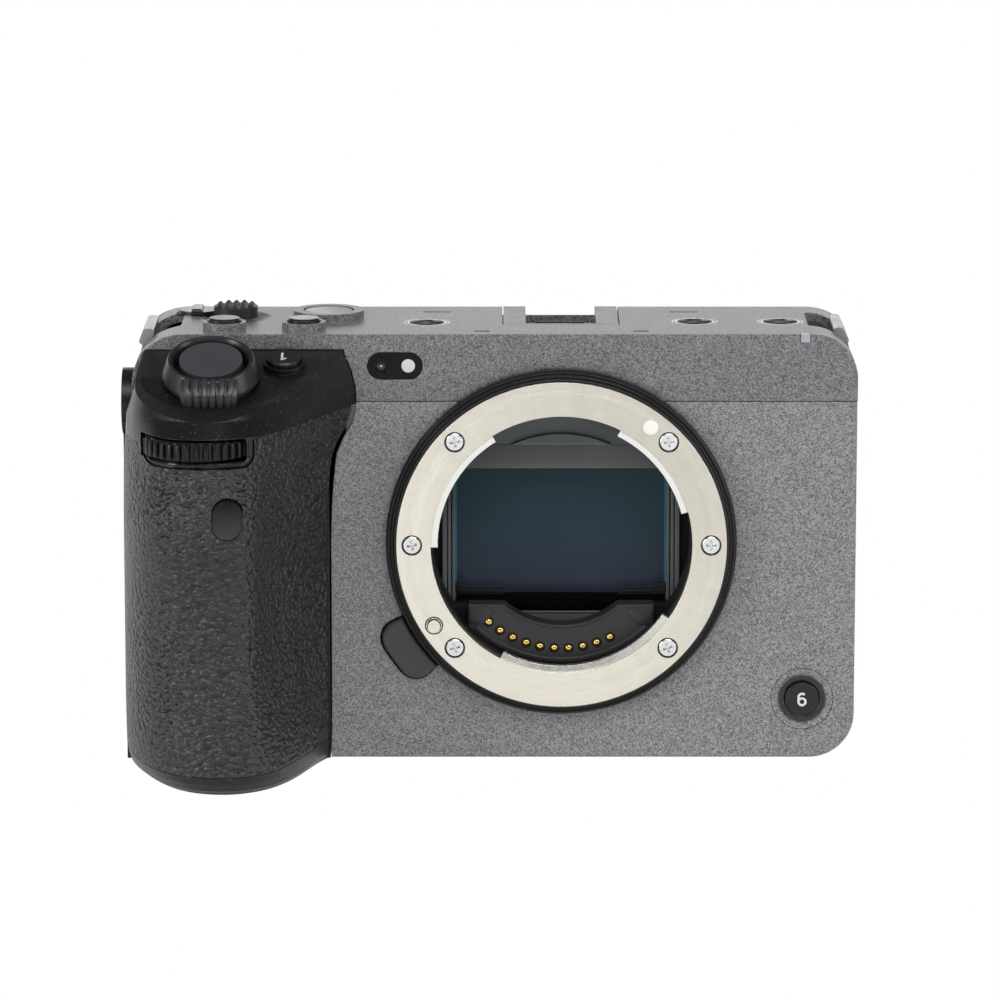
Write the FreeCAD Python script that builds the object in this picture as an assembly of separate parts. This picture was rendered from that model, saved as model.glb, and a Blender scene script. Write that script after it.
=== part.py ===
"""Compact full-frame cinema camera body, modelled as an assembly of separate pieces.

Row frame: millimetres, +Z up, -Y towards the subject, +X towards the side with the
terminal doors. The origin is the centre of the tripod socket's mouth on the base.
"""

import math
import os

import FreeCAD
import Part

V = FreeCAD.Vector

# The battery and what stands round it set the size of the grip and of the body
BATTERY_WIDTH = 22.7
BATTERY_DEPTH = 38.7
BATTERY_HEIGHT = 51.7
BATTERY_LIFT = 2.9          # its foot above the base
BATTERY_BACK_Y = 12.7
BATTERY_GAP = 0.35
BATTERY_FRONT_Y = BATTERY_BACK_Y - BATTERY_DEPTH
HEADROOM = 21.8             # from the battery's top to the flat top
INNER_ROOM = 7.7            # from the front cover's edge to the battery
OUTER_ROOM = 5.4            # from the battery to the outer wall
CARD_UNIT_GAP = 0.7
CARD_UNIT_DEPTH = 12.8
CARD_UNIT_BACK = 3.8        # from the card unit to the rear face

# Overall body
BODY_HEIGHT = BATTERY_LIFT + BATTERY_HEIGHT + HEADROOM
BODY_RIGHT = 52.1           # terminal side
GRIP_EDGE_X = -40.8         # front cover's edge along the grip
BODY_LEFT = GRIP_EDGE_X - INNER_ROOM - BATTERY_WIDTH - OUTER_ROOM
FRONT_Y = -16.0             # painted front face
REAR_Y = BATTERY_BACK_Y + CARD_UNIT_GAP + CARD_UNIT_DEPTH + CARD_UNIT_BACK
SCREEN_WALL_Y = REAR_Y - 8.0            # rear wall behind the monitor
CONTROL_EDGE_X = GRIP_EDGE_X + 12.8     # where the control area steps down to the monitor
CORNER_RADIUS = 8.0         # front-view corners on the terminal side
SHOULDER_RADIUS = 9.0       # front-view corner on the grip side
WALL = 1.6                  # cast cover wall
TOP_COVER_HEIGHT = 11.9
SEAM_Z = BODY_HEIGHT - TOP_COVER_HEIGHT  # split between the top cover and the lower covers
SEAM_GAP = 0.15             # hairline between neighbouring covers
SLOPE_RUN = 15.5
SLOPE_DROP = 6.8
SLOPE_START_Y = REAR_Y - SLOPE_RUN      # the flat top ends here and slopes down to the rear
SLOPE_END_Z = BODY_HEIGHT - SLOPE_DROP  # height of the slope at the rear face
FRONT_TRAY_DEPTH = 4.0      # how far the front cover wraps round the edges
TERMINAL_EDGE_X = BODY_RIGHT - 8.5      # where the terminal panel meets the base plate
GRIP_BACK_Y = 2.0           # the grip module ends here
GRIP_SIDE_X = BODY_LEFT - 0.5           # leather beside the body
GRIP_REACH = 30.5           # the foremost point of the grip before the front face
GRIP_NOSE_Y = FRONT_Y - GRIP_REACH

# Lens mount
AXIS_DEPTH = 37.0           # optical axis below the flat top
AXIS_Z = BODY_HEIGHT - AXIS_DEPTH
FLANGE_Y = -20.0            # lens flange face
FLANGE_RADIUS = 29.1
THROAT_RADIUS = 23.05       # between the bayonet lugs
LUG_RADIUS = 21.8           # inside the bayonet lugs
FLANGE_THICKNESS = 2.4
LUG_THICKNESS = 1.5
LUG_ARCS = ((14.8, 63.3), (122.0, 181.1), (242.3, 325.1))
SCREW_CIRCLE_RADIUS = 26.35
SCREW_ANGLES = (0.0, 44.5, 135.5, 180.0, 224.5, 315.5)
SCREW_HEAD_RADIUS = 1.7
SCREW_SHANK_RADIUS = 0.9
SCREW_HEAD_DEPTH = 1.1
SCREW_LENGTH = 5.0
TRIM_RADIUS = 30.95
TRIM_FRONT_Y = -19.3
RELEASE_ANGLES = (206.0, 225.4)         # the lens release about the optical axis
RELEASE_OUTER = 36.6        # its outer edge
RELEASE_CORNER = 3.2
RELEASE_PROUD = 1.3
CONTACT_COUNT = 10
CONTACT_RADIUS = 19.7
CONTACT_FIRST_ANGLE = 229.3
CONTACT_PITCH_ANGLE = 7.44
CONTACT_PIN_RADIUS = 0.5
CONTACT_FACE_Y = -14.6
CONTACT_BLOCK_DEPTH = 4.0
CONTACT_BLOCK_TOP = -11.8   # below the optical axis
CONTACT_BLOCK_INNER = 15.5

# Running gaps
FIT_GAP = 0.15              # cap in its hole, dial in its slot
RUN_GAP = 0.3               # faces that pass each other
PIVOT_GAP = 0.08            # shaft in its bore

# Fasteners and sockets
SOCKET_RADIUS = 3.175       # quarter-inch tripod thread
INSERT_RADIUS = 4.1
SOCKET_DEPTH = 6.0
TOP_SOCKET_DEPTH = 4.6
TOP_SOCKETS = ((-23.8, -3.0), (23.8, -2.0), (BODY_RIGHT - 13.1, -2.0))
SIDE_SOCKET_Z = SEAM_Z - 8.1
SIDE_SOCKET_Y = -6.4
GRIP_SOCKET_Y = -8.0
GRIP_SOCKET_Z = SEAM_Z - 1.3
GRIP_PAD_RADIUS = 5.9
GRIP_PAD_FACE_X = BODY_LEFT - 1.0


def box(x0, x1, y0, y1, z0, z1):
    """A box between two opposite corners."""
    return Part.makeBox(x1 - x0, y1 - y0, z1 - z0, V(x0, y0, z0))


def rod(start, direction, radius, length):
    """A cylinder from a start point along a direction."""
    return Part.makeCylinder(radius, length, V(*start), V(*direction))


def tube(start, direction, outer, inner, length):
    """A round tube."""
    return rod(start, direction, outer, length).cut(rod(start, direction, inner, length))


def pyramid(x, y, z, base, tip, height):
    """A square pyramid with a flat tip, standing on a centre point."""
    low = base / 2
    high = tip / 2
    solid = Part.makeWedge(-low, 0, -low, -high, -high, low, height, low, high, high)
    solid.rotate(V(0, 0, 0), V(1, 0, 0), 90)
    solid.translate(V(x, y, z))
    return solid


def rounded_wire(points, radii):
    """A closed wire through corner points, each corner rounded by its own radius."""
    count = len(points)
    edges = []
    ends = []
    for index, corner in enumerate(points):
        corner = V(*corner)
        before = (V(*points[index - 1]) - corner).normalize()
        after = (V(*points[(index + 1) % count]) - corner).normalize()
        radius = radii[index]
        if radius <= 0:
            ends.append((corner, corner, None))
            continue
        half = before.getAngle(after) / 2
        reach = radius / math.tan(half)
        bisector = (before + after).normalize()
        centre = corner + bisector * (radius / math.sin(half))
        middle = centre - bisector * radius
        ends.append((corner + before * reach, corner + after * reach, middle))
    for index, (start, end, middle) in enumerate(ends):
        if middle is not None:
            edges.append(Part.Arc(start, middle, end).toShape())
        following = ends[(index + 1) % count][0]
        if (following - end).Length > 1e-6:
            edges.append(Part.LineSegment(end, following).toShape())
    return Part.Wire(edges)


def slab(points, radii, travel):
    """A face with rounded corners, extruded along a vector."""
    return Part.Face(rounded_wire(points, radii)).extrude(V(*travel))


def front_slab(x0, x1, z0, z1, radii, y0, y1):
    """A rounded rectangle seen from the front, extruded from y0 to y1.

    radii run from the bottom left corner anticlockwise as seen from the front.
    """
    corners = [(x0, y0, z0), (x1, y0, z0), (x1, y0, z1), (x0, y0, z1)]
    return slab(corners, radii, (0, y1 - y0, 0))


def side_slab(y0, y1, z0, z1, radius, x0, x1):
    """A rounded rectangle seen from the side, extruded from x0 to x1."""
    corners = [(x0, y0, z0), (x0, y1, z0), (x0, y1, z1), (x0, y0, z1)]
    return slab(corners, [radius] * 4, (x1 - x0, 0, 0))


def plan_slab(x0, x1, y0, y1, radius, z0, z1):
    """A rounded rectangle seen from above, extruded from z0 to z1."""
    corners = [(x0, y0, z0), (x1, y0, z0), (x1, y1, z0), (x0, y1, z0)]
    return slab(corners, [radius] * 4, (0, 0, z1 - z0))


def on_axis(angle, radius, y):
    """A point at an angle and radius about the optical axis, seen from the front."""
    turn = math.radians(angle)
    return (radius * math.cos(turn), y, AXIS_Z + radius * math.sin(turn))


def sector(inner, outer, first, last, y0, y1):
    """A ring sector about the optical axis between two angles."""
    middle = (first + last) / 2
    arc_out = Part.Arc(
        V(*on_axis(first, outer, y0)), V(*on_axis(middle, outer, y0)), V(*on_axis(last, outer, y0))
    ).toShape()
    arc_in = Part.Arc(
        V(*on_axis(last, inner, y0)), V(*on_axis(middle, inner, y0)), V(*on_axis(first, inner, y0))
    ).toShape()
    side_one = Part.LineSegment(V(*on_axis(last, outer, y0)), V(*on_axis(last, inner, y0))).toShape()
    side_two = Part.LineSegment(V(*on_axis(first, inner, y0)), V(*on_axis(first, outer, y0))).toShape()
    wire = Part.Wire([arc_out, side_one, arc_in, side_two])
    return Part.Face(wire).extrude(V(0, y1 - y0, 0))


def fused(first, *others):
    """One solid from several that touch or overlap."""
    shape = first
    for other in others:
        shape = shape.fuse(other)
    return shape.removeSplitter()


def cut(shape, *tools):
    """A shape with tools cut away."""
    for tool in tools:
        shape = shape.cut(tool)
    return shape


# Push buttons: one shape, placed along its own axis

BUTTON_FLANGE = 0.7         # how far the retaining flange stands out
BUTTON_FLANGE_DEPTH = 0.8
BUTTON_EDGE = 0.3           # bevel of the cap


class PushButton:
    """A round cap that slides in a hole in a wall, with a flange that keeps it in."""

    def __init__(self, centre, out, radius, proud, wall):
        self.centre = V(*centre)
        self.out = V(*out).normalize()
        self.radius = radius
        self.proud = proud
        self.wall = wall

    def at(self, height):
        """The point on the axis at a height above the wall's face."""
        return tuple(self.centre + self.out * height)

    def cap(self):
        """The cap with its stem and flange."""
        depth = self.wall + RUN_GAP + BUTTON_FLANGE_DEPTH
        cap = rod(self.at(-depth), self.out, self.radius, depth + self.proud)
        top = V(*self.at(self.proud))
        rim = [e for e in cap.Edges if e.Closed and (e.CenterOfMass - top).Length < 1e-3]
        cap = cap.makeChamfer(BUTTON_EDGE, rim)
        flange = rod(self.at(-depth), self.out, self.radius + BUTTON_FLANGE, BUTTON_FLANGE_DEPTH)
        return fused(cap, flange)

    def hole(self):
        """What the wall loses: a hole with a running gap."""
        return rod(self.at(-self.wall - 0.5), self.out, self.radius + FIT_GAP, self.wall + 6.0)


SLOPE_OUT = (0.0, SLOPE_DROP, SLOPE_RUN)

# Grip top: the tilted face that carries the release and the zoom lever
GRIP_TOP_Z = BODY_HEIGHT - 2.8           # where the tilted face meets the front cover's plane
GRIP_TOP_FALL = 16.3        # tilt of that face, degrees
GRIP_LID = 2.0              # its wall, measured upright
RELEASE_TILT = 23.0         # tilt of the shutter button's axis, degrees
RELEASE_CENTRE = (BODY_LEFT + 15.6, GRIP_NOSE_Y + 18.5, BODY_HEIGHT - 2.2)
RELEASE_OUT = (0.0, -math.sin(math.radians(RELEASE_TILT)), math.cos(math.radians(RELEASE_TILT)))
SHUTTER_RADIUS = 5.5
SHUTTER_DISH = 0.25         # the button's top sits this far below the lever's rim
SHUTTER_STEM = 3.0
SHUTTER_THICK = 1.7
SHUTTER_TRAVEL = 0.4
SPIGOT_TOP = -(SHUTTER_DISH + SHUTTER_THICK + SHUTTER_TRAVEL + RUN_GAP)
ZOOM_RADIUS = 8.6           # foot of the lever's cone
ZOOM_RIM = 7.4              # top of the lever's cone
ZOOM_HEIGHT = 3.65          # rim down to the seat, with the running gap
ZOOM_BORE = 6.4
ZOOM_MOUTH = 0.55           # how far the bore flares at the rim
ZOOM_TAB = ((-6.4, 0.1), (-7.5, 0.35), (-10.4, -1.2), (-11.1, -3.3), (-6.4, -3.3))
ZOOM_TAB_WIDTH = 8.6
ZOOM_RIBS = 7
ZOOM_RIB_DEPTH = 0.35
MOAT_RADIUS = 12.3          # shallow recess that the tab sweeps over
MOAT_FLOOR = 4.0
PEDESTAL_RADIUS = 8.2
IRIS_TILT = 16.7

COLLAR_RADIUS = 3.85
COLLAR_HEIGHT = 1.4
SMALL_CAP = 2.9
REC_RING_RADIUS = 6.3
REC_RING_HEIGHT = 1.4
REC_CAP_RADIUS = 4.4

ISO_BUTTON = PushButton((BODY_LEFT + 17.2, -10.4, BODY_HEIGHT + COLLAR_HEIGHT), (0, 0, 1), SMALL_CAP, 0.7,
                        WALL + COLLAR_HEIGHT)
WB_BUTTON = PushButton((GRIP_EDGE_X - 4.6, -10.4, BODY_HEIGHT + COLLAR_HEIGHT), (0, 0, 1), SMALL_CAP, 0.7,
                       WALL + COLLAR_HEIGHT)
REC_BUTTON = PushButton((GRIP_EDGE_X - 0.6, 2.7, BODY_HEIGHT + REC_RING_HEIGHT), (0, 0, 1),
                        REC_CAP_RADIUS, -0.1, WALL + REC_RING_HEIGHT)
FRONT_REC_AT = (BODY_RIGHT - 9.3, FRONT_Y, 10.8)
FRONT_REC_DISH = 16.0       # radius of the shallow dish round it
FRONT_REC_BUTTON = PushButton(FRONT_REC_AT, (0, -1, 0), 3.05, 0.5, WALL)
REAR_CAP = 3.0
REAR_PROUD = 0.9
FUNCTION_BUTTON = PushButton((CONTROL_EDGE_X - 6.5, REAR_Y, SEAM_Z - 10.5), (0, 1, 0), REAR_CAP,
                             REAR_PROUD, WALL)
AF_ON_BUTTON = PushButton((CONTROL_EDGE_X - 18.5, REAR_Y, SEAM_Z - 7.0), (0, 1, 0), 3.4, REAR_PROUD, WALL)
PLAYBACK_BUTTON = PushButton((CONTROL_EDGE_X - 8.5, REAR_Y, 16.0), (0, 1, 0), REAR_CAP, REAR_PROUD, WALL)
DELETE_BUTTON = PushButton((CONTROL_EDGE_X - 27.5, REAR_Y, 16.0), (0, 1, 0), REAR_CAP, REAR_PROUD, WALL)
MENU_BUTTON = PushButton(
    (BODY_RIGHT - 14.1, (SLOPE_START_Y + REAR_Y) / 2, (BODY_HEIGHT + SLOPE_END_Z) / 2),
    SLOPE_OUT, 2.6, 0.6, WALL)


def on_grip_top(x, y):
    """A point on the tilted face of the grip top."""
    return (x, y, GRIP_TOP_Z - (FRONT_Y - y) * math.tan(math.radians(GRIP_TOP_FALL)))


IRIS_OUT = (0.0, -math.sin(math.radians(IRIS_TILT)), math.cos(math.radians(IRIS_TILT)))
IRIS_COLLAR_HEIGHT = 0.9
IRIS_BASE = on_grip_top(RELEASE_CENTRE[0] + 12.5, FRONT_Y - 6.0)
IRIS_BUTTON = PushButton(
    tuple(V(*IRIS_BASE) + V(*IRIS_OUT) * IRIS_COLLAR_HEIGHT), IRIS_OUT, 2.95, 0.9,
    GRIP_LID + IRIS_COLLAR_HEIGHT)

# Control wheel on the rear
WHEEL_CENTRE = (CONTROL_EDGE_X - 18.0, SEAM_Z - 29.0)
WHEEL_RADIUS = 11.4
WHEEL_BORE = 5.3
WHEEL_PROUD = 1.0
WHEEL_RIBS = 44
THUMB_REST_PROUD = 6.7
WHEEL_SEAT = 1.1            # depth of its round seat in the rear cover
HUB_RADIUS = 5.0
CENTRE_CAP = 3.9
CENTRE_BUTTON = PushButton(
    (WHEEL_CENTRE[0], REAR_Y + 0.6, WHEEL_CENTRE[1]), (0, 1, 0), CENTRE_CAP, 0.5, WALL + 0.6)


class Dial:
    """A ribbed thumb wheel on an upright axle."""

    def __init__(self, x, y, z, radius, thickness, ribs):
        self.x = x
        self.y = y
        self.z = z
        self.radius = radius
        self.thickness = thickness
        self.ribs = ribs

    AXLE = 1.5
    RIB_DEPTH = 0.45

    def wheel(self):
        """The wheel with grooves between its ribs and a bore for the axle."""
        low = self.z - self.thickness / 2
        wheel = rod((self.x, self.y, low), (0, 0, 1), self.radius, self.thickness)
        rims = [e for e in wheel.Edges if e.Closed]
        wheel = wheel.makeChamfer(0.4, rims)
        pitch = 2 * math.pi / self.ribs
        groove_width = self.radius * pitch * 0.42
        grooves = []
        for index in range(self.ribs):
            groove = box(self.radius - self.RIB_DEPTH, self.radius + 1, -groove_width / 2, groove_width / 2,
                         low - 1, low + self.thickness + 1)
            groove.rotate(V(0, 0, 0), V(0, 0, 1), math.degrees(index * pitch))
            groove.translate(V(self.x, self.y, 0))
            grooves.append(groove)
        wheel = wheel.cut(Part.makeCompound(grooves))
        return wheel.cut(rod((self.x, self.y, low - 1), (0, 0, 1), self.AXLE + PIVOT_GAP, self.thickness + 2))

    def pocket(self):
        """The room that the wheel turns in."""
        height = self.thickness + 2 * RUN_GAP
        return rod((self.x, self.y, self.z - height / 2), (0, 0, 1), self.radius + 0.5, height)

    def axle(self, overlap=0.5):
        """The axle, reaching into the walls above and below the pocket."""
        height = self.thickness + 2 * RUN_GAP + 2 * overlap
        return rod((self.x, self.y, self.z - height / 2), (0, 0, 1), self.AXLE, height)


FRONT_DIAL = Dial(BODY_LEFT + 14.0, GRIP_NOSE_Y + 8.5, SEAM_Z - 3.5, 9.6, 3.4, 36)
REAR_DIAL = Dial(BODY_LEFT + 13.1, REAR_Y - 8.8, SEAM_Z + 2.4, 10.0, 3.2, 40)

# Joystick
STICK_CENTRE = (BODY_LEFT + 18.6, REAR_Y - 27.0)
STICK_PIVOT_Z = BODY_HEIGHT - 3.8
STICK_CAP_RADIUS = 3.9
STICK_TOP_Z = BODY_HEIGHT + 2.6
STICK_CAP_DEPTH = 1.9
STUD_PITCH = 1.4
STUD_BASE = 1.3
STUD_TIP = 0.3
STUD_HEIGHT = 0.6
STICK_SHAFT = 0.6
STICK_BRACKET = (5.6, 4.1)   # outer and inner radius of the gimbal's bracket
STICK_WELL_SPHERE = 14.0    # radius of the ball that its dished well is cut with
STICK_WELL_DEPTH = 1.6

# Power switch
POWER_CENTRE = (BODY_LEFT + 11.6, REAR_Y - 21.4)
POWER_RADIUS = 3.6
POWER_STEM = 1.5
POWER_FIN_TOP = 1.3         # above the flat top

# Monitor
HINGE_X = BODY_RIGHT - 4.5
HINGE_Y = REAR_Y - 3.4
HINGE_BARREL = 4.1
HINGE_PIN = 1.6
MONITOR_LEFT = CONTROL_EDGE_X + 1.4
MONITOR_RIGHT = HINGE_X - 5.0
MONITOR_LOW = 5.0
MONITOR_HIGH = SEAM_Z - 2.1
MONITOR_FRONT_Y = SCREEN_WALL_Y + 0.4
MONITOR_BACK_Y = REAR_Y + 0.8
MONITOR_GLASS = 1.0
KNUCKLE_LOW = (9.0, 17.0)
KNUCKLE_HIGH = (SEAM_Z - 15.5, SEAM_Z - 7.5)
BARREL_SPAN = (KNUCKLE_LOW[1] + RUN_GAP, KNUCKLE_HIGH[0] - RUN_GAP)
TROUGH_RADIUS = 6.9

# Battery and its door
BATTERY_SIZE = (BATTERY_WIDTH, BATTERY_DEPTH, BATTERY_HEIGHT)
BATTERY_CORNER = (BODY_LEFT + OUTER_ROOM, BATTERY_FRONT_Y, BATTERY_LIFT)
DOOR_PLATE = 1.8
DOOR_LIFT = 0.3             # the door stays clear of the table by this

# Doors on the terminal side: low z, high z
DOOR_SPANS = {
    "jack_door": (SEAM_Z - 18.0, SEAM_Z - 3.5),
    "video_door": (SEAM_Z - 34.5, SEAM_Z - 19.2),
    "data_door": (9.0, SEAM_Z - 35.7),
}
DOOR_FRONT_Y = 1.5
DOOR_BACK_Y = SCREEN_WALL_Y - 5.0
DOOR_THICK = 1.5
DOOR_PIN = 0.45

# Card door on the grip side
CARD_DOOR_Y = (REAR_Y - 24.0, REAR_Y - 3.5)
CARD_DOOR_Z = (12.0, SEAM_Z - 6.5)

# Imaging unit
OPENING = (-19.0, 19.0, AXIS_Z - 13.8, AXIS_Z + 11.4)
SENSOR_PLATE = (-21.0, 21.0, AXIS_Z - 14.0, AXIS_Z + 12.0)
GLASS_PLATE = (-19.6, 19.6, AXIS_Z - 13.4, AXIS_Z + 11.6)
STAGE_PLATE = (-27.0, 27.0, AXIS_Z - 19.9, AXIS_Z + 18.6)
BLADE_HEIGHT = 13.8
BLADE_REST_Z = AXIS_Z + 13.5
BLADE_THICK = 0.35
BAFFLE_BACK_Y = -6.0
UPPER_BLADE_Y = -5.6
LOWER_BLADE_Y = -4.95
GLASS_Y = (-4.2, -2.6)
PACKAGE_Y = (-2.6, 0.8)
STAGE_Y = (1.1, 4.1)
BACKPLATE_Y = (4.4, 6.2)
BLADE_HALF_WIDTH = 20.4


def body_profile(inset, y0, y1, left=BODY_LEFT):
    """The front-view outline of the body, drawn in by an inset, from y0 to y1."""
    right_radius = max(CORNER_RADIUS - inset, 0.5)
    left_radius = max(SHOULDER_RADIUS - inset, 0.5)
    return front_slab(
        left + inset, BODY_RIGHT - inset, inset, BODY_HEIGHT - inset,
        [2.0, right_radius, right_radius, left_radius], y0, y1)


def top_side_profile(inset, x0, x1):
    """The side view of the top cover: flat top, slope to the rear."""
    lean = inset / math.cos(math.atan2(SLOPE_DROP, SLOPE_RUN))
    points = [
        (x0, FRONT_Y + inset, SEAM_Z - 2),
        (x0, REAR_Y - inset, SEAM_Z - 2),
        (x0, REAR_Y - inset, SLOPE_END_Z - lean + inset * SLOPE_DROP / SLOPE_RUN),
        (x0, SLOPE_START_Y, BODY_HEIGHT - lean),
        (x0, SLOPE_START_Y - inset, BODY_HEIGHT - inset),
        (x0, FRONT_Y + inset, BODY_HEIGHT - inset),
    ]
    if inset == 0:
        points.pop(4)
    return slab(points, [0.0] * len(points), (x1 - x0, 0, 0))


def release_boundary(grow):
    """The outline of the lens release about the optical axis, grown by a gap."""
    first, last = RELEASE_ANGLES
    pad = math.degrees(grow / RELEASE_OUTER)
    inner = FLANGE_RADIUS + 0.6 - grow
    block = sector(inner, RELEASE_OUTER + 0.1 + grow, first - pad, last + pad, -18.6, -8.0)
    return block.makeFillet(RELEASE_CORNER + grow, outer_corners(block))


def outer_corners(shape):
    """The upright edges of the lens release that lie farthest from the optical axis."""
    return [e for e in shape.Edges if e.BoundBox.YLength > 4.0 and
            math.hypot(e.CenterOfMass.x, e.CenterOfMass.z - AXIS_Z) > RELEASE_OUTER - 2.6]


# Grip outline: plan sections, four points from the front cover's edge, then five from the side

INNER_POINTS = 4
CHEST_Z = SEAM_Z - 24.5
NECK_Z = SEAM_Z - 9.5
CROWN_Z = SEAM_Z - 1.5


def grip_plan(*offsets):
    """A plan section from its points' offsets.

    The first four count from the front cover's edge and the rest from the outer wall in x.
    All count from the grip's foremost point in y, but for the two ends, which stay on the
    front plane.
    """
    points = []
    for index, (dx, dy) in enumerate(offsets):
        side = GRIP_EDGE_X if index < INNER_POINTS else BODY_LEFT
        depth = FRONT_Y if index in (0, len(offsets) - 1) else GRIP_NOSE_Y + dy
        points.append((side + dx, depth))
    return tuple(points)


GRIP_LEVELS = (
    (0.0, grip_plan(
        (-0.6, 0), (-4.8, 18.9), (-7.8, 11.5), (-11.8, 6.1),
        (18.6, 3.5), (12.6, 4.9), (6.4, 12.5), (2, 24.5), (1.2, 0))),
    (1.1, grip_plan(
        (-0.3, 0), (-3.8, 19.1), (-6.8, 10.7), (-10.8, 4.5),
        (18.6, 1.4), (11.9, 2.9), (5.2, 11.5), (0.8, 24.5), (0, 0))),
    (4.0, grip_plan(
        (-0.1, 0), (-3.8, 18.9), (-7.2, 9.5), (-11.2, 2.9),
        (18.2, 0.1), (11, 1.7), (4.2, 9.5), (0.2, 22.5), (-0.5, 0))),
    (14.0, grip_plan(
        (0, 0), (-5.6, 19.1), (-10.2, 8.1), (-13.2, 2.1),
        (16.6, 0), (9.6, 1.5), (3.6, 8.5), (0.1, 20.5), (-0.5, 0))),
    (CHEST_Z, grip_plan(
        (0, 0), (-6, 19.9), (-11, 8.1), (-13.6, 1.9),
        (16.2, 0), (9.2, 1.5), (3.4, 8.5), (0.1, 20.5), (-0.5, 0))),
    (NECK_Z, grip_plan(
        (1, 0), (-4.8, 19.7), (-10, 8.5), (-13.2, 2.7),
        (16, 0.4), (9, 1.7), (3.6, 8.9), (0.3, 20.5), (-0.3, 0))),
    (CROWN_Z, grip_plan(
        (4.5, 0), (-2.6, 18.5), (-8.6, 8.7), (-12.8, 3.1),
        (16, 0.5), (9, 2), (3.9, 9.3), (0.8, 20.5), (0.2, 0))),
)
LID_PLAN = grip_plan(
    (2.2, 0), (-3.1, 22.5), (-8.1, 14.9), (-13.4, 7.5),
    (16.3, 3.2), (9.6, 5.5), (4.8, 9.9), (2.6, 20.5), (3.4, 0))
LID_FALL = (0, 2.3, 4.5, 6.7, 8, 7.3, 6, 2.9, 0)  # its edge below the lid's highest point
LID_EDGE = tuple((x, y, GRIP_TOP_Z - fall) for (x, y), fall in zip(LID_PLAN, LID_FALL))
LID_LEVELS = tuple(GRIP_TOP_Z + step for step in (-8.0, -6.0, -3.6, -0.6, 2.4))
LOW_HEIGHTS = (0.0, 0.5, 1.1, 2.4, 4.0, 8.0, 14.0, 23.0)
PLAN_HEIGHTS = LOW_HEIGHTS + (SEAM_Z - 32.5, CHEST_Z, SEAM_Z - 18.5, SEAM_Z - 13.5, NECK_Z,
                              SEAM_Z - 6.5, SEAM_Z - 4.0, CROWN_Z)
LID_BULGE = (0.85, 0.4, 0, 0, 0, 0, 0, 0, 0)  # how far it swells towards the lens half way up
BEYOND_LID = 0.25           # how fast the form keeps closing in above the lid


def lid_level(z):
    """The plan section at a height between the leather's top and the lid's edge."""
    base_z, plan = GRIP_LEVELS[-1]
    section = []
    for (x, y), (lid_x, lid_y, lid_z), bulge in zip(plan, LID_EDGE, LID_BULGE):
        share = (z - base_z) / (lid_z - base_z)
        swell = 4 * bulge * share * max(1 - share, 0)
        if share > 1:
            share = 1 + (share - 1) * BEYOND_LID
        section.append((x + (lid_x - x) * share + swell, y + (lid_y - y) * share))
    return (z, tuple(section))


def plan_slope(index, axis, level):
    """How fast one plan coordinate changes with height at a stated section."""
    low = GRIP_LEVELS[max(level - 1, 0)]
    high = GRIP_LEVELS[min(level + 1, len(GRIP_LEVELS) - 1)]
    here = GRIP_LEVELS[level]
    before = (here[1][index][axis] - low[1][index][axis]) / max(here[0] - low[0], 1e-6)
    after = (high[1][index][axis] - here[1][index][axis]) / max(high[0] - here[0], 1e-6)
    if before * after <= 0:
        return 0.0
    return 2 * before * after / (before + after)


def smooth_level(z):
    """The plan section at any height, eased between the stated sections without overshoot."""
    upper = next(i for i, level in enumerate(GRIP_LEVELS) if level[0] >= z)
    if GRIP_LEVELS[upper][0] == z:
        return GRIP_LEVELS[upper]
    lower = upper - 1
    span = GRIP_LEVELS[upper][0] - GRIP_LEVELS[lower][0]
    t = (z - GRIP_LEVELS[lower][0]) / span
    section = []
    for index in range(len(LID_EDGE)):
        point = []
        for axis in (0, 1):
            start = GRIP_LEVELS[lower][1][index][axis]
            end = GRIP_LEVELS[upper][1][index][axis]
            leave = plan_slope(index, axis, lower) * span
            arrive = plan_slope(index, axis, upper) * span
            point.append(
                (2 * t**3 - 3 * t**2 + 1) * start + (t**3 - 2 * t**2 + t) * leave
                + (3 * t**2 - 2 * t**3) * end + (t**3 - t**2) * arrive)
        section.append(tuple(point))
    return (z, tuple(section))


def grip_section(level, inset):
    """One plan section of the grip, drawn in by an inset."""
    z, plan = level
    points = [V(x, y, z) for x, y in plan]
    moved = []
    for index, point in enumerate(points):
        before = points[max(index - 1, 0)]
        after = points[min(index + 1, len(points) - 1)]
        along = (after - before).normalize()
        inward = V(-along.y, along.x, 0)
        if (V(SEAM_MID[0], FRONT_Y - 4, z) - point).dot(inward) < 0:
            inward = inward * -1
        step = point + inward * inset
        if index in (0, len(points) - 1):
            step = V(point.x + inward.x * inset / max(abs(inward.x), 0.3), FRONT_Y, z)
        moved.append(step)
    curve = Part.BSplineCurve()
    curve.interpolate(moved)
    back = FRONT_Y + GRIP_ROOT + inset
    corners = [moved[-1], V(moved[-1].x, back, z), V(moved[0].x, back, z), moved[0]]
    sides = [Part.LineSegment(a, b).toShape() for a, b in zip(corners, corners[1:])]
    return Part.Wire([curve.toShape()] + sides)


def grip_form(inset):
    """The grip's outer form, drawn in by an inset.

    It reaches a little behind the front plane. With an inset it also reaches past the
    outer form's ends, so that it can be cut from it cleanly.
    """
    reach = 1.0 if inset else 0.0
    levels = [smooth_level(z) for z in PLAN_HEIGHTS]
    if inset > 0:
        levels = levels[::-2][::-1]
    levels += [lid_level(z) for z in LID_LEVELS]
    levels[0] = (levels[0][0] - reach, levels[0][1])
    levels[-1] = (levels[-1][0] + reach, levels[-1][1])
    wires = [grip_section(level, inset) for level in levels]
    return Part.makeLoft(wires, True, True)


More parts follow.
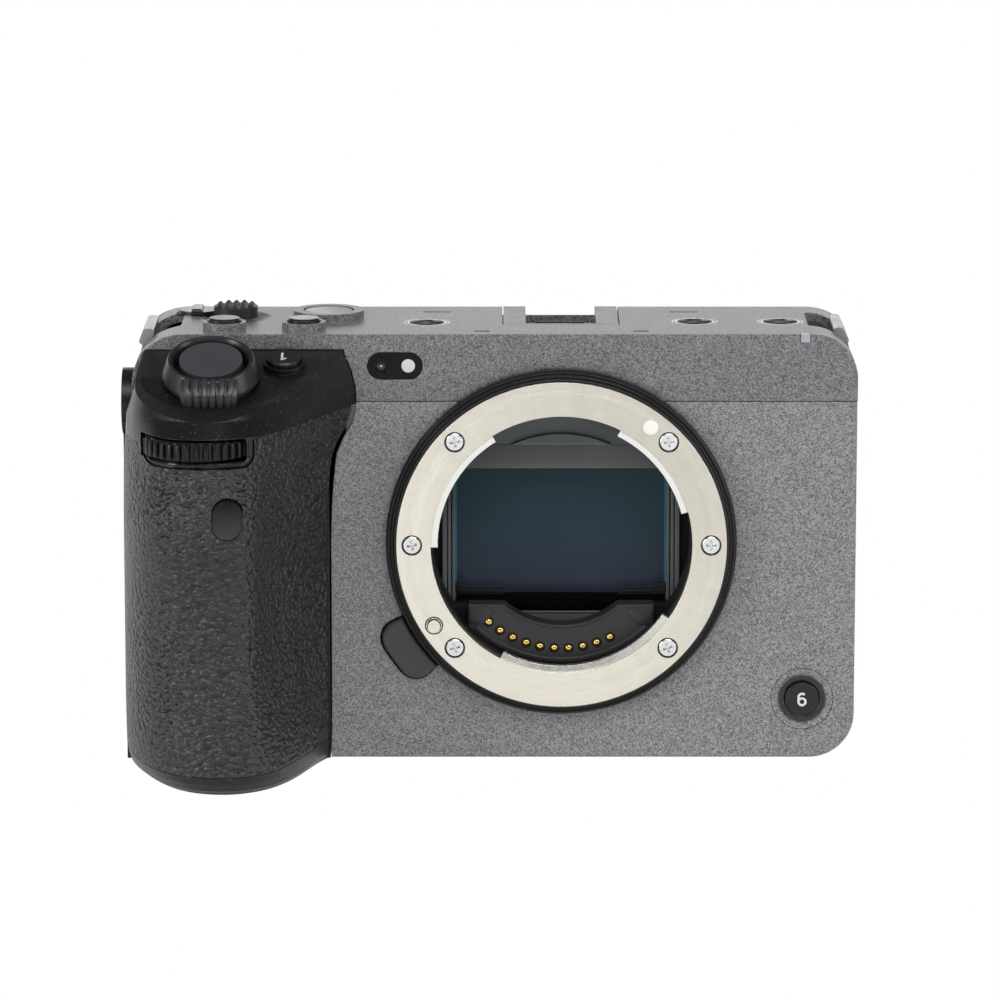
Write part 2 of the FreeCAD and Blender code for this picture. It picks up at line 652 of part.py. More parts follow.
def grip_root(gap):
    """The grip's root in the front wall, grown by a gap, for the covers to make room for."""
    form = grip_form(-gap)
    return form.common(box(BODY_LEFT - 5, 0, FRONT_Y - 1, FRONT_Y + GRIP_ROOT, -5, GRIP_TOP_Z + 0.1))


def before_front(shape):
    """The part of a shape in front of the body's front plane."""
    return shape.cut(box(-200, 200, FRONT_Y, 100, -50, 150))


def grip_side(inset):
    """The part of the grip beside the body, from the front plane to the rear cover."""
    return box(GRIP_SIDE_X + inset, GRIP_EDGE_X - SEAM_GAP, FRONT_Y, GRIP_BACK_Y, 0, SEAM_Z - SEAM_GAP)


def above_plane(point, normal, size=200.0):
    """A large block on the side of a plane that its normal points to."""
    block = Part.makeBox(size, size, size, V(-size / 2, -size / 2, 0))
    block.Placement = FreeCAD.Placement(V(*point), FreeCAD.Rotation(V(0, 0, 1), V(*normal)))
    return block


SKIN = 1.3
PILL_X = BODY_LEFT + 19.0    # middle of the remote window
PILL_HALF = 2.6
PILL_LOW = SEAM_Z - 19.05
PILL_HIGH = SEAM_Z - 11.9
GRIP_ROOT = 2.0             # how far the form reaches behind the front plane
SEAM_TILT = 0.085           # the leather's upper seam rises towards the lens by this slope
SEAM_MID = (BODY_LEFT + 16.6, -30.0, SEAM_Z - 2.5)
GRIP_SEAM_NORMAL = (-SEAM_TILT, 0.0, 1.0)
SKIN_LOW_Z = 3.8
FRAME_LEFT = FRONT_DIAL.x - 9.6
FRAME_RIGHT = FRONT_DIAL.x + 9.6
FRAME_LOW = FRONT_DIAL.z - 3.0
FRAME_BACK_Y = GRIP_NOSE_Y + 5.0
WINDOW_HALF = 8.4           # half the width of the slot that shows the dial
WINDOW_RISE = 2.0           # and half its height
BEFORE_GRIP_Y = GRIP_NOSE_Y - 13.5


def dial_frame_block(grow):
    """The tongue of the grip top that frames the front dial, below the leather's seam."""
    return front_slab(FRAME_LEFT - grow, FRAME_RIGHT + grow, FRAME_LOW - grow, SEAM_Z + 3,
                      [2.0, 2.0, 0.5, 0.5], BEFORE_GRIP_Y, FRAME_BACK_Y)


def make_grip(nodes):
    """The grip: core, leather skin, tilted top with the dial frame."""
    outer = fused(before_front(grip_form(0.0)), grip_side(0.0))
    under_front = grip_form(SKIN)
    under_side = grip_side(SKIN)
    low = above_plane((0, 0, SKIN_LOW_Z), (0, 0, -1))
    below_seam = above_plane(SEAM_MID, tuple(-c for c in GRIP_SEAM_NORMAL))
    window = remote_pill(0.0)

    skin = outer.cut(low).common(below_seam)
    skin = cut(skin, box(GRIP_SIDE_X + SKIN, 0, FRONT_Y - 1.0, 90, -5, 90), under_front)
    skin = cut(skin, dial_frame_block(0.1), window, grip_pad(0.1), FRONT_DIAL.pocket())

    bay_low = tuple(BATTERY_CORNER[i] - BATTERY_GAP for i in range(3))
    bay_high = tuple(BATTERY_CORNER[i] + BATTERY_SIZE[i] + BATTERY_GAP for i in range(3))
    bay = box(bay_low[0], bay_high[0], bay_low[1], min(bay_high[1], GRIP_BACK_Y + 5), -1, bay_high[2])
    base_band = outer.common(above_plane((0, 0, SKIN_LOW_Z - 0.1), (0, 0, -1)))
    core = fused(before_front(under_front), under_side)
    core = core.common(above_plane((0, 0, SKIN_LOW_Z - 0.2), (0, 0, 1)))
    core = fused(core, base_band)
    roof = above_plane((SEAM_MID[0], SEAM_MID[1], SEAM_MID[2] - 0.2), GRIP_SEAM_NORMAL)
    core = cut(core, roof, bay, FRONT_DIAL.pocket(), dial_frame_block(0.1), battery_door_room())
    core = cut(core, remote_pill(0.0), grip_socket_bore())
    core = fused(core, grip_pad(0.0).cut(grip_socket_bore()))
    axle = FRONT_DIAL.axle()
    core = fused(core, axle.common(above_plane((0, 0, FRONT_DIAL.z + 2.0), (0, 0, -1))))

    nodes["grip_skin"] = skin
    nodes["grip_core"] = core
    nodes["grip_top_cover"] = make_grip_top()


def remote_window():
    """The remote sensor's window, following the grip's front."""
    return remote_pill(-0.1).common(grip_form(0.1)).cut(grip_form(2.2))


def grip_pad(grow):
    """The round pad round the grip-side socket."""
    return rod((GRIP_PAD_FACE_X, GRIP_SOCKET_Y, GRIP_SOCKET_Z), (1, 0, 0), GRIP_PAD_RADIUS + grow, 3.4 + grow)


def grip_socket_bore():
    """The bore that the grip-side insert sits in."""
    return rod((BODY_LEFT - 13.4, GRIP_SOCKET_Y, GRIP_SOCKET_Z), (1, 0, 0), INSERT_RADIUS, 22)


def remote_pill(grow):
    """The upright oblong window of the remote sensor, cut from the front of the grip."""
    half = PILL_HALF + grow
    return front_slab(PILL_X - half, PILL_X + half, PILL_LOW - grow, PILL_HIGH + grow, [half * 0.995] * 4,
                      GRIP_NOSE_Y - 3.5, GRIP_NOSE_Y + 2.9)


def release_rod(radius, low, high):
    """A cylinder on the shutter button's axis between two heights."""
    base = V(*RELEASE_CENTRE) + V(*RELEASE_OUT) * low
    return rod(tuple(base), RELEASE_OUT, radius, high - low)


def make_grip_top():
    """The tilted top of the grip with its pedestal, collar and dial frame."""
    fall = math.radians(GRIP_TOP_FALL)
    normal = (0.0, -math.sin(fall), math.cos(fall))
    lid_plane = above_plane((0, FRONT_Y, GRIP_TOP_Z), normal)
    cavity_plane = above_plane((0, FRONT_Y, GRIP_TOP_Z - GRIP_LID), normal)
    seam = (SEAM_MID[0], SEAM_MID[1], SEAM_MID[2] + 0.05)
    below = above_plane(seam, tuple(-c for c in GRIP_SEAM_NORMAL))
    outer = before_front(grip_form(0.0))
    shell = cut(outer, lid_plane, below)
    tongue = outer.common(dial_frame_block(0.0)).cut(grip_form(3.0))
    shell = fused(shell, tongue.cut(lid_plane))
    cavity = cut(grip_form(1.9), cavity_plane)
    cavity = cavity.cut(above_plane((0, 0, SEAM_Z - 0.3), (0, 0, -1)))
    pedestal = release_rod(PEDESTAL_RADIUS, -7.4, -ZOOM_HEIGHT)
    spigot = release_rod(ZOOM_BORE - PIVOT_GAP, -ZOOM_HEIGHT - 0.5, SPIGOT_TOP)
    moat = release_rod(MOAT_RADIUS, -MOAT_FLOOR, 6.0).cut(release_rod(PEDESTAL_RADIUS, -8.0, 7.0))
    moat_floor = release_rod(MOAT_RADIUS + 1.4, -MOAT_FLOOR - 1.4, -MOAT_FLOOR + 0.6)
    moat_floor = cut(moat_floor, lid_plane)
    moat_floor = moat_floor.common(grip_form(0.6))
    collar_base = V(*IRIS_BASE) - V(*IRIS_OUT) * 1.5
    collar = rod(tuple(collar_base), IRIS_OUT, COLLAR_RADIUS - 0.1, 1.5 + IRIS_COLLAR_HEIGHT)
    shell = cut(shell, cavity)
    shell = fused(shell, moat_floor)
    shell = cut(shell, moat)
    shell = fused(shell, pedestal, collar)
    shell = cut(shell, release_rod(ZOOM_RADIUS + 0.35, -ZOOM_HEIGHT, 6.0), FRONT_DIAL.pocket())
    shell = fused(shell, spigot)
    shell = cut(shell, IRIS_BUTTON.hole(), release_rod(SHUTTER_STEM + 0.2, -12.0, 2.0))
    window = front_slab(FRONT_DIAL.x - WINDOW_HALF, FRONT_DIAL.x + WINDOW_HALF, FRONT_DIAL.z - WINDOW_RISE,
                        FRONT_DIAL.z + WINDOW_RISE, [0.6] * 4, BEFORE_GRIP_Y, GRIP_NOSE_Y + 6.5)
    shell = cut(shell, window)
    behind = box(BODY_LEFT - 13.4, GRIP_EDGE_X + 10.8, FRONT_Y, 10, SEAM_Z - 14.5, BODY_HEIGHT + 13.6)
    shell = cut(shell, behind)
    solids = sorted(shell.Solids, key=lambda solid: -solid.Volume)
    return solids[0]


def release_frame(shape):
    """Moves a shape from the lever's own frame, its axis upright, into place."""
    shape.Placement = FreeCAD.Placement(V(*RELEASE_CENTRE), FreeCAD.Rotation(V(1, 0, 0), RELEASE_TILT))
    return shape


def zoom_tab_profile(inset, half_width):
    """The tab's side profile, drawn in by an inset, as a bar across the lever."""
    points = [V(-half_width, y + inset, z - inset * 0.6) for y, z in ZOOM_TAB[1:4]]
    first = V(-half_width, ZOOM_TAB[0][0] + inset, ZOOM_TAB[0][1] - inset * 0.6)
    last = V(-half_width, ZOOM_TAB[0][0] + inset, ZOOM_TAB[-1][1] - inset)
    wire = Part.makePolygon([first] + points + [last, first])
    return Part.Face(wire).extrude(V(2 * half_width, 0, 0))


def make_release(nodes):
    """The shutter button and the zoom lever round it."""
    low = -SHUTTER_DISH - SHUTTER_THICK
    button = fused(release_rod(SHUTTER_RADIUS, low, -SHUTTER_DISH), release_rod(SHUTTER_STEM, -8.0, low + 0.1))
    dish = Part.makeSphere(60.0, V(*RELEASE_CENTRE) + V(*RELEASE_OUT) * (60.0 - SHUTTER_DISH - 0.22))
    nodes["shutter_button"] = button.cut(dish)
    foot = -ZOOM_HEIGHT + RUN_GAP
    cone = Part.makeCone(ZOOM_RADIUS, ZOOM_RIM, -foot, V(0, 0, foot), V(0, 0, 1))
    inner = zoom_tab_profile(ZOOM_RIB_DEPTH, ZOOM_TAB_WIDTH)
    tab = zoom_tab_profile(0.0, ZOOM_TAB_WIDTH / 2)
    pitch = ZOOM_TAB_WIDTH / ZOOM_RIBS
    for index in range(ZOOM_RIBS - 1):
        x = (index - (ZOOM_RIBS - 2) / 2) * pitch
        groove = box(x - pitch * 0.2, x + pitch * 0.2, -14.0, -7.0, -6.0, 2.0)
        tab = tab.cut(groove.cut(inner))
    lever = release_frame(fused(cone, tab))
    mouth = Part.makeCone(ZOOM_BORE, ZOOM_BORE + ZOOM_MOUTH, 1.3, V(0, 0, -1.2), V(0, 0, 1))
    nodes["zoom_lever"] = cut(lever, release_rod(ZOOM_BORE, -6.0, 3.0), release_frame(mouth))


def make_mount(nodes):
    """The bayonet ring, its screws, the trim, contacts and index."""
    back = FLANGE_Y + FLANGE_THICKNESS
    ring = tube((0, FLANGE_Y, AXIS_Z), (0, 1, 0), FLANGE_RADIUS, THROAT_RADIUS, FLANGE_THICKNESS)
    lugs = [sector(LUG_RADIUS, THROAT_RADIUS + 0.3, a, b, FLANGE_Y + 0.35, FLANGE_Y + 0.35 + LUG_THICKNESS)
            for a, b in LUG_ARCS]
    ring = fused(ring, *lugs)
    heads = []
    screws = []
    for angle in SCREW_ANGLES:
        seat = on_axis(angle, SCREW_CIRCLE_RADIUS, FLANGE_Y - 1)
        heads.append(rod(seat, (0, 1, 0), SCREW_HEAD_RADIUS + 0.1, 1 + SCREW_HEAD_DEPTH + 0.05))
        heads.append(rod(seat, (0, 1, 0), SCREW_SHANK_RADIUS + 0.05, 8))
        head = rod(on_axis(angle, SCREW_CIRCLE_RADIUS, FLANGE_Y + 0.05), (0, 1, 0), SCREW_HEAD_RADIUS,
                   SCREW_HEAD_DEPTH - 0.05)
        shank = rod(on_axis(angle, SCREW_CIRCLE_RADIUS, FLANGE_Y + 0.3), (0, 1, 0), SCREW_SHANK_RADIUS,
                    SCREW_LENGTH)
        screws.append(fused(head, shank))
    pin_hole = rod(lock_pin_at(FLANGE_Y - 1), (0, 1, 0), LOCK_PIN_RADIUS + FIT_GAP, 8)
    nodes["mount_ring"] = cut(ring, Part.makeCompound(heads[0::2]), Part.makeCompound(heads[1::2]), pin_hole)
    nodes["mount_screws"] = Part.makeCompound(screws)

    trim = tube((0, TRIM_FRONT_Y, AXIS_Z), (0, 1, 0), TRIM_RADIUS, FLANGE_RADIUS + FIT_GAP,
                FRONT_Y - TRIM_FRONT_Y)
    rim = [e for e in trim.Edges if e.Closed and abs(e.CenterOfMass.y - TRIM_FRONT_Y) < 1e-3
           and e.BoundBox.XLength > 2 * TRIM_RADIUS - 0.5]
    trim = trim.makeChamfer(0.7, rim)
    nodes["mount_trim_ring"] = trim

    face = CONTACT_FACE_Y
    block = sector(CONTACT_BLOCK_INNER, THROAT_RADIUS - 0.35, 207.0, 333.0, face, face + CONTACT_BLOCK_DEPTH)
    block = block.common(box(-16.4, 16.4, face, face + CONTACT_BLOCK_DEPTH, 0, AXIS_Z + CONTACT_BLOCK_TOP))
    pins = []
    for index in range(CONTACT_COUNT):
        angle = CONTACT_FIRST_ANGLE + index * CONTACT_PITCH_ANGLE
        hole = rod(on_axis(angle, CONTACT_RADIUS, face - 1), (0, 1, 0), CONTACT_PIN_RADIUS + 0.08, 9)
        block = block.cut(hole)
        pin = rod(on_axis(angle, CONTACT_RADIUS, face - 0.35), (0, 1, 0), CONTACT_PIN_RADIUS,
                  CONTACT_BLOCK_DEPTH + 0.35)
        pins.append(pin)
    nodes["contact_block"] = block
    nodes["contact_pins"] = Part.makeCompound(pins)
    nodes["light_baffle"] = make_baffle(back)


def make_baffle(back):
    """The dark chamber behind the throat, with the shutter's guide rails."""
    chamber = tube((0, back, AXIS_Z), (0, 1, 0), THROAT_RADIUS + 0.4, THROAT_RADIUS - 0.3,
                   BAFFLE_BACK_Y - back)
    mask = front_slab(-25.0, 25.0, AXIS_Z - 19.4, SEAM_Z + 3.5, [3.0] * 4, BAFFLE_BACK_Y - 1.6, BAFFLE_BACK_Y)
    x0, x1, z0, z1 = OPENING
    mask = mask.cut(front_slab(x0, x1, z0, z1, [2.2, 2.2, 0.6, 0.6], BAFFLE_BACK_Y - 3, BAFFLE_BACK_Y + 1))
    rails = [box(s * 22.2 - 1.2, s * 22.2 + 1.2, BAFFLE_BACK_Y, -4.5, AXIS_Z - 15.4, SEAM_Z + 2.9)
             for s in (-1, 1)]
    shape = fused(chamber, mask, *rails)
    seat_under_contacts = box(-30, 30, CONTACT_FACE_Y + CONTACT_BLOCK_DEPTH, BAFFLE_BACK_Y, 0, AXIS_Z - 12.5)
    floor = seat_under_contacts.common(rod((0, -30, AXIS_Z), (0, 1, 0), THROAT_RADIUS + 0.4, 60))
    floor = floor.cut(rod((0, -30, AXIS_Z), (0, 1, 0), CONTACT_BLOCK_INNER + 1.5, 60))
    return fused(shape, floor)


LOCK_PIN_RADIUS = 1.1
LOCK_PIN_PROUD = 0.9
LOCK_PLATE_Y = -13.0


def lock_pin_at(y):
    """The lock pin's centre at a depth."""
    return on_axis(212.7, 26.7, y)


def make_lens_release(nodes):
    """The release button beside the mount, with the lock pin on the same plate."""
    front_y = FRONT_Y - RELEASE_PROUD
    button = sector(TRIM_RADIUS + RUN_GAP, RELEASE_OUTER, *RELEASE_ANGLES, front_y, LOCK_PLATE_Y + 0.1)
    button = button.makeFillet(RELEASE_CORNER, outer_corners(button))
    front = [e for e in button.Edges if abs(e.CenterOfMass.y - front_y) < 1e-3]
    button = button.makeFillet(0.5, front)
    plate = sector(25.2, 35.0, 207.5, 223.5, LOCK_PLATE_Y, LOCK_PLATE_Y + 1.0)
    nodes["release_button"] = fused(button, plate)
    nodes["lock_pin"] = rod(lock_pin_at(FLANGE_Y - LOCK_PIN_PROUD), (0, 1, 0), LOCK_PIN_RADIUS,
                            LOCK_PLATE_Y - FLANGE_Y + LOCK_PIN_PROUD)


def make_front_cover(nodes):
    """The lower front cover, a shallow tray with the mount opening."""
    outer = body_profile(0.0, FRONT_Y, FRONT_Y + FRONT_TRAY_DEPTH)
    edge = [e for e in outer.Edges if abs(e.BoundBox.YMin - FRONT_Y) < 1e-6 and e.BoundBox.YLength < 1e-6]
    outer = outer.makeFillet(0.9, edge)
    inner = body_profile(WALL, FRONT_Y + WALL, FRONT_Y + FRONT_TRAY_DEPTH + 1)
    tray = cut(outer, inner)
    tray = tray.common(box(-200, 200, -100, 100, -10, SEAM_Z - SEAM_GAP))
    tray = cut(tray, grip_root(SEAM_GAP), box(-200, GRIP_EDGE_X, -100, 100, -10, 100))
    tray = cut(tray, rod((0, -40, AXIS_Z), (0, 1, 0), FLANGE_RADIUS + FIT_GAP, 60))
    tray = cut(tray, FRONT_REC_BUTTON.hole(), release_boundary(0.3))
    dish = Part.makeSphere(FRONT_REC_DISH, V(*FRONT_REC_AT) - V(0, FRONT_REC_DISH - 0.9, 0))
    tray = cut(tray, dish)
    nodes["front_cover"] = tray


def make_top_cover(nodes):
    """The top cover with its shoe seat, button collars and slopes."""
    left = BODY_LEFT + 1.0
    span = (BODY_LEFT - 13.4, BODY_RIGHT + 7.9)
    outer = body_profile(0.0, FRONT_Y, REAR_Y, left).common(top_side_profile(0.0, *span))
    inner = body_profile(WALL, FRONT_Y, REAR_Y, left).common(top_side_profile(WALL, *span))
    lid = cut(outer, inner).common(box(-200, 200, -100, 100, SEAM_Z, 100))
    collars = [rod((b.centre.x, b.centre.y, BODY_HEIGHT - 0.5), (0, 0, 1), COLLAR_RADIUS, COLLAR_HEIGHT + 0.5)
               for b in (ISO_BUTTON, WB_BUTTON)]
    rec_ring = rod((REC_BUTTON.centre.x, REC_BUTTON.centre.y, BODY_HEIGHT - 0.5), (0, 0, 1),
                   REC_RING_RADIUS, REC_RING_HEIGHT + 0.5)
    dial_block = box(REAR_DIAL.x - 10.7, REAR_DIAL.x + 11.5, REAR_DIAL.y - 11.4, REAR_Y - 0.4,
                     SEAM_Z, SEAM_Z + 5.7)
    dial_block = dial_block.common(top_side_profile(0.3, *span))
    strap_floors = [strap_floor(side).common(outer) for side in STRAP_SIDES]
    lid = fused(lid, *collars, rec_ring, dial_block, *strap_floors)
    lid = cut(lid, ISO_BUTTON.hole(), WB_BUTTON.hole(), REC_BUTTON.hole(), MENU_BUTTON.hole())
    lid = cut(lid, REAR_DIAL.pocket())
    lid = fused(lid, REAR_DIAL.axle())
    for x, y in TOP_SOCKETS:
        lid = cut(lid, rod((x, y, SEAM_Z - 4.5), (0, 0, 1), INSERT_RADIUS + 0.02, 30))
    shoe_x, shoe_y0, shoe_y1 = SHOE_HALF + 0.2, -5.4, SLOPE_START_Y + 0.5
    well_x = shoe_x + 1.4
    well = box(-well_x, well_x, shoe_y0 - 1.4, shoe_y1 + 1.0, SHOE_FLOOR_Z - 1.4, BODY_HEIGHT - 0.5)
    lid = fused(lid, well)
    lid = cut(lid, box(-shoe_x, shoe_x, shoe_y0, shoe_y1 + 5.0, SHOE_FLOOR_Z, BODY_HEIGHT + 13.6))
    sx, sy = STICK_CENTRE
    ball_z = BODY_HEIGHT + STICK_WELL_SPHERE - STICK_WELL_DEPTH
    stick_well = Part.makeSphere(STICK_WELL_SPHERE, V(sx, sy, ball_z))
    bracket_height = BODY_HEIGHT - WALL - STICK_PIVOT_Z + 1.4
    bracket = tube((sx, sy, STICK_PIVOT_Z - 1.2), (0, 0, 1), *STICK_BRACKET, bracket_height)
    lid = fused(lid, bracket)
    lid = cut(lid, stick_well, rod((sx, sy, SEAM_Z - 4.5), (0, 0, 1), 3.1, 30))
    lid = cut(lid, rod((sx - 8, sy, STICK_PIVOT_Z), (1, 0, 0), STICK_SHAFT + PIVOT_GAP, 16), grip_pad(0.1))
    px, py = POWER_CENTRE
    lid = cut(lid, rod((px, py, BODY_HEIGHT - 0.7), (0, 0, 1), POWER_RADIUS + RUN_GAP, 3))
    lid = cut(lid, rod((px, py, SEAM_Z - 4.5), (0, 0, 1), POWER_STEM + PIVOT_GAP, 30))
    lid = cut(lid, lamp_pocket(), lamp_window(0.1, FRONT_Y - 1, FRONT_Y + 0.9))
    for side in STRAP_SIDES:
        lid = cut(lid, strap_notch(side))
    for x in (-14.0, 14.0):
        lid = cut(lid, plan_slab(x - 1.5, x + 1.5, -13.2, -12.0, 0.55, BODY_HEIGHT - 1.0, BODY_HEIGHT + 1))
        slot_x = math.copysign(22.1, x)
        slot = plan_slab(slot_x - 2.6, slot_x + 2.6, 7.9, 8.9, 0.45, BODY_HEIGHT - 1.2, BODY_HEIGHT + 1)
        lid = cut(lid, slot)
    behind_grip = box(-200, GRIP_EDGE_X - 0.1, -30, FRONT_Y + WALL + 0.1, 0, GRIP_TOP_Z)
    lid = cut(lid, grip_root(SEAM_GAP), behind_grip)
    lid = cut(lid, grip_socket_bore(), rod((0, -40, AXIS_Z), (0, 1, 0), FLANGE_RADIUS + FIT_GAP, 30))
    nodes["top_cover"] = max(lid.Solids, key=lambda solid: solid.Volume)


SHOE_DEPTH = 4.6
SHOE_RAIL = 1.2
SHOE_HALF = 10.2
SHOE_THROAT_HALF = 6.25
SHOE_SHEET = 0.85
SHOE_TOP_Z = BODY_HEIGHT
SHOE_FLOOR_Z = SHOE_TOP_Z - SHOE_DEPTH
LAMP_X = (BODY_RIGHT - 10.1, BODY_RIGHT - 8.5)
LAMP_LOW_Z = BODY_HEIGHT - 1.5
FOCUS_WINDOW = (-34.1, -24.5, BODY_HEIGHT - 8.0, BODY_HEIGHT - 3.3)
STRAP_SIDES = ("left", "right")
STRAP_SIDE_X = {"left": BODY_LEFT, "right": BODY_RIGHT}
STRAP_NOTCH = {"left": (-0.3, 9.3), "right": (-8.4, 1.1)}
STRAP_BARS = {
    "left": ((2.7, -0.5), (4.7, -0.5), (4.2, -2.8), (1.3, -4.0)),
    "right": ((-2.2, -0.3), (-4.0, -0.3), (-3.6, -2.8), (-0.5, -3.8)),
}
STRAP_Y = (-7.0, 8.0)
STRAP_FLOOR_Z = BODY_HEIGHT - 7.0
STRAP_FLOOR = 1.2           # thickness of its floor


def lamp_pocket():
    """The corner pocket of the recording lamp on the top front edge."""
    x0, x1 = LAMP_X
    return box(x0 - 0.1, x1 + 0.1, FRONT_Y - 1, FRONT_Y + 1.2, LAMP_LOW_Z - 0.1, BODY_HEIGHT + 3.6)


def lamp_window(grow, y0, y1):
    """The oblong of the focus lamp's window, grown by a gap."""
    x0, x1, z0, z1 = FOCUS_WINDOW
    return front_slab(x0 - grow, x1 + grow, z0 - grow, z1 + grow, [(z1 - z0) / 2 - 0.01 + grow] * 4, y0, y1)


def strap_notch(side):
    """The cut-out in a top corner that a strap passes through."""
    wall = STRAP_SIDE_X[side]
    near, far = STRAP_NOTCH[side]
    return plan_slab(wall + near, wall + far, STRAP_Y[0], STRAP_Y[1], 1.5, STRAP_FLOOR_Z, BODY_HEIGHT + 13.6)


def strap_floor(side):
    """The floor that closes a strap notch from below."""
    wall = STRAP_SIDE_X[side]
    near, far = STRAP_NOTCH[side]
    under = STRAP_FLOOR_Z - STRAP_FLOOR
    return plan_slab(wall + near, wall + far, STRAP_Y[0], STRAP_Y[1], 1.5, under, STRAP_FLOOR_Z)


def make_strap_bars(nodes):
    """The two steel bars that straps loop round, across the corner notches."""
    bars = []
    y0 = STRAP_Y[0] + 0.05
    for side in STRAP_SIDES:
        corners = [(STRAP_SIDE_X[side] + x, y0, BODY_HEIGHT + z) for x, z in STRAP_BARS[side]]
        bars.append(slab(corners, [0.7] * 4, (0, STRAP_Y[1] - STRAP_Y[0] - 0.1, 0)))
    nodes["strap_bars"] = Part.makeCompound(bars)


def make_shoe(nodes):
    """The accessory shoe: floor and two rails."""
    y0, y1 = -5.2, SLOPE_START_Y + 0.3
    rail_low = SHOE_TOP_Z - SHOE_RAIL
    half, throat = SHOE_HALF, SHOE_THROAT_HALF
    wall = half - SHOE_SHEET
    base = box(-half, half, y0, y1, SHOE_FLOOR_Z, SHOE_FLOOR_Z + SHOE_RAIL)
    walls = [box(x0, x1, y0, y1, SHOE_FLOOR_Z, SHOE_TOP_Z) for x0, x1 in ((-half, -wall), (wall, half))]
    rails = [box(x0, x1, y0, y1, rail_low, SHOE_TOP_Z) for x0, x1 in ((-half, -throat), (throat, half))]
    front = box(-half, half, y0, y0 + 1.0, SHOE_FLOOR_Z, SHOE_TOP_Z)
    shoe = fused(base, *walls, *rails, front)
    nodes["accessory_shoe"] = shoe


def make_inserts(nodes):
    """The steel threaded inserts of the accessory sockets and the tripod socket."""
    inserts = []
    for x, y in TOP_SOCKETS:
        low = BODY_HEIGHT - TOP_SOCKET_DEPTH
        body = rod((x, y, low - 0.8), (0, 0, 1), INSERT_RADIUS, TOP_SOCKET_DEPTH + 0.8)
        inserts.append(body.cut(rod((x, y, low), (0, 0, 1), SOCKET_RADIUS, 10)))
    tripod = rod((0, 0, 0), (0, 0, 1), INSERT_RADIUS + 0.6, SOCKET_DEPTH + 0.8)
    inserts.append(tripod.cut(rod((0, 0, -1), (0, 0, 1), SOCKET_RADIUS, SOCKET_DEPTH + 1)))
    side = rod((BODY_RIGHT - 6.8, SIDE_SOCKET_Y, SIDE_SOCKET_Z), (1, 0, 0), INSERT_RADIUS, 6.8)
    inserts.append(side.cut(rod((BODY_RIGHT - SOCKET_DEPTH, SIDE_SOCKET_Y, SIDE_SOCKET_Z), (1, 0, 0),
                                SOCKET_RADIUS, 10)))
    grip = rod((GRIP_PAD_FACE_X + 0.1, GRIP_SOCKET_Y, GRIP_SOCKET_Z), (1, 0, 0), INSERT_RADIUS - 0.02, 6.8)
    inserts.append(grip.cut(rod((GRIP_PAD_FACE_X - 12.4, GRIP_SOCKET_Y, GRIP_SOCKET_Z), (1, 0, 0),
                                SOCKET_RADIUS, 12.4 + SOCKET_DEPTH)))
    nodes["thread_inserts"] = Part.makeCompound(inserts)


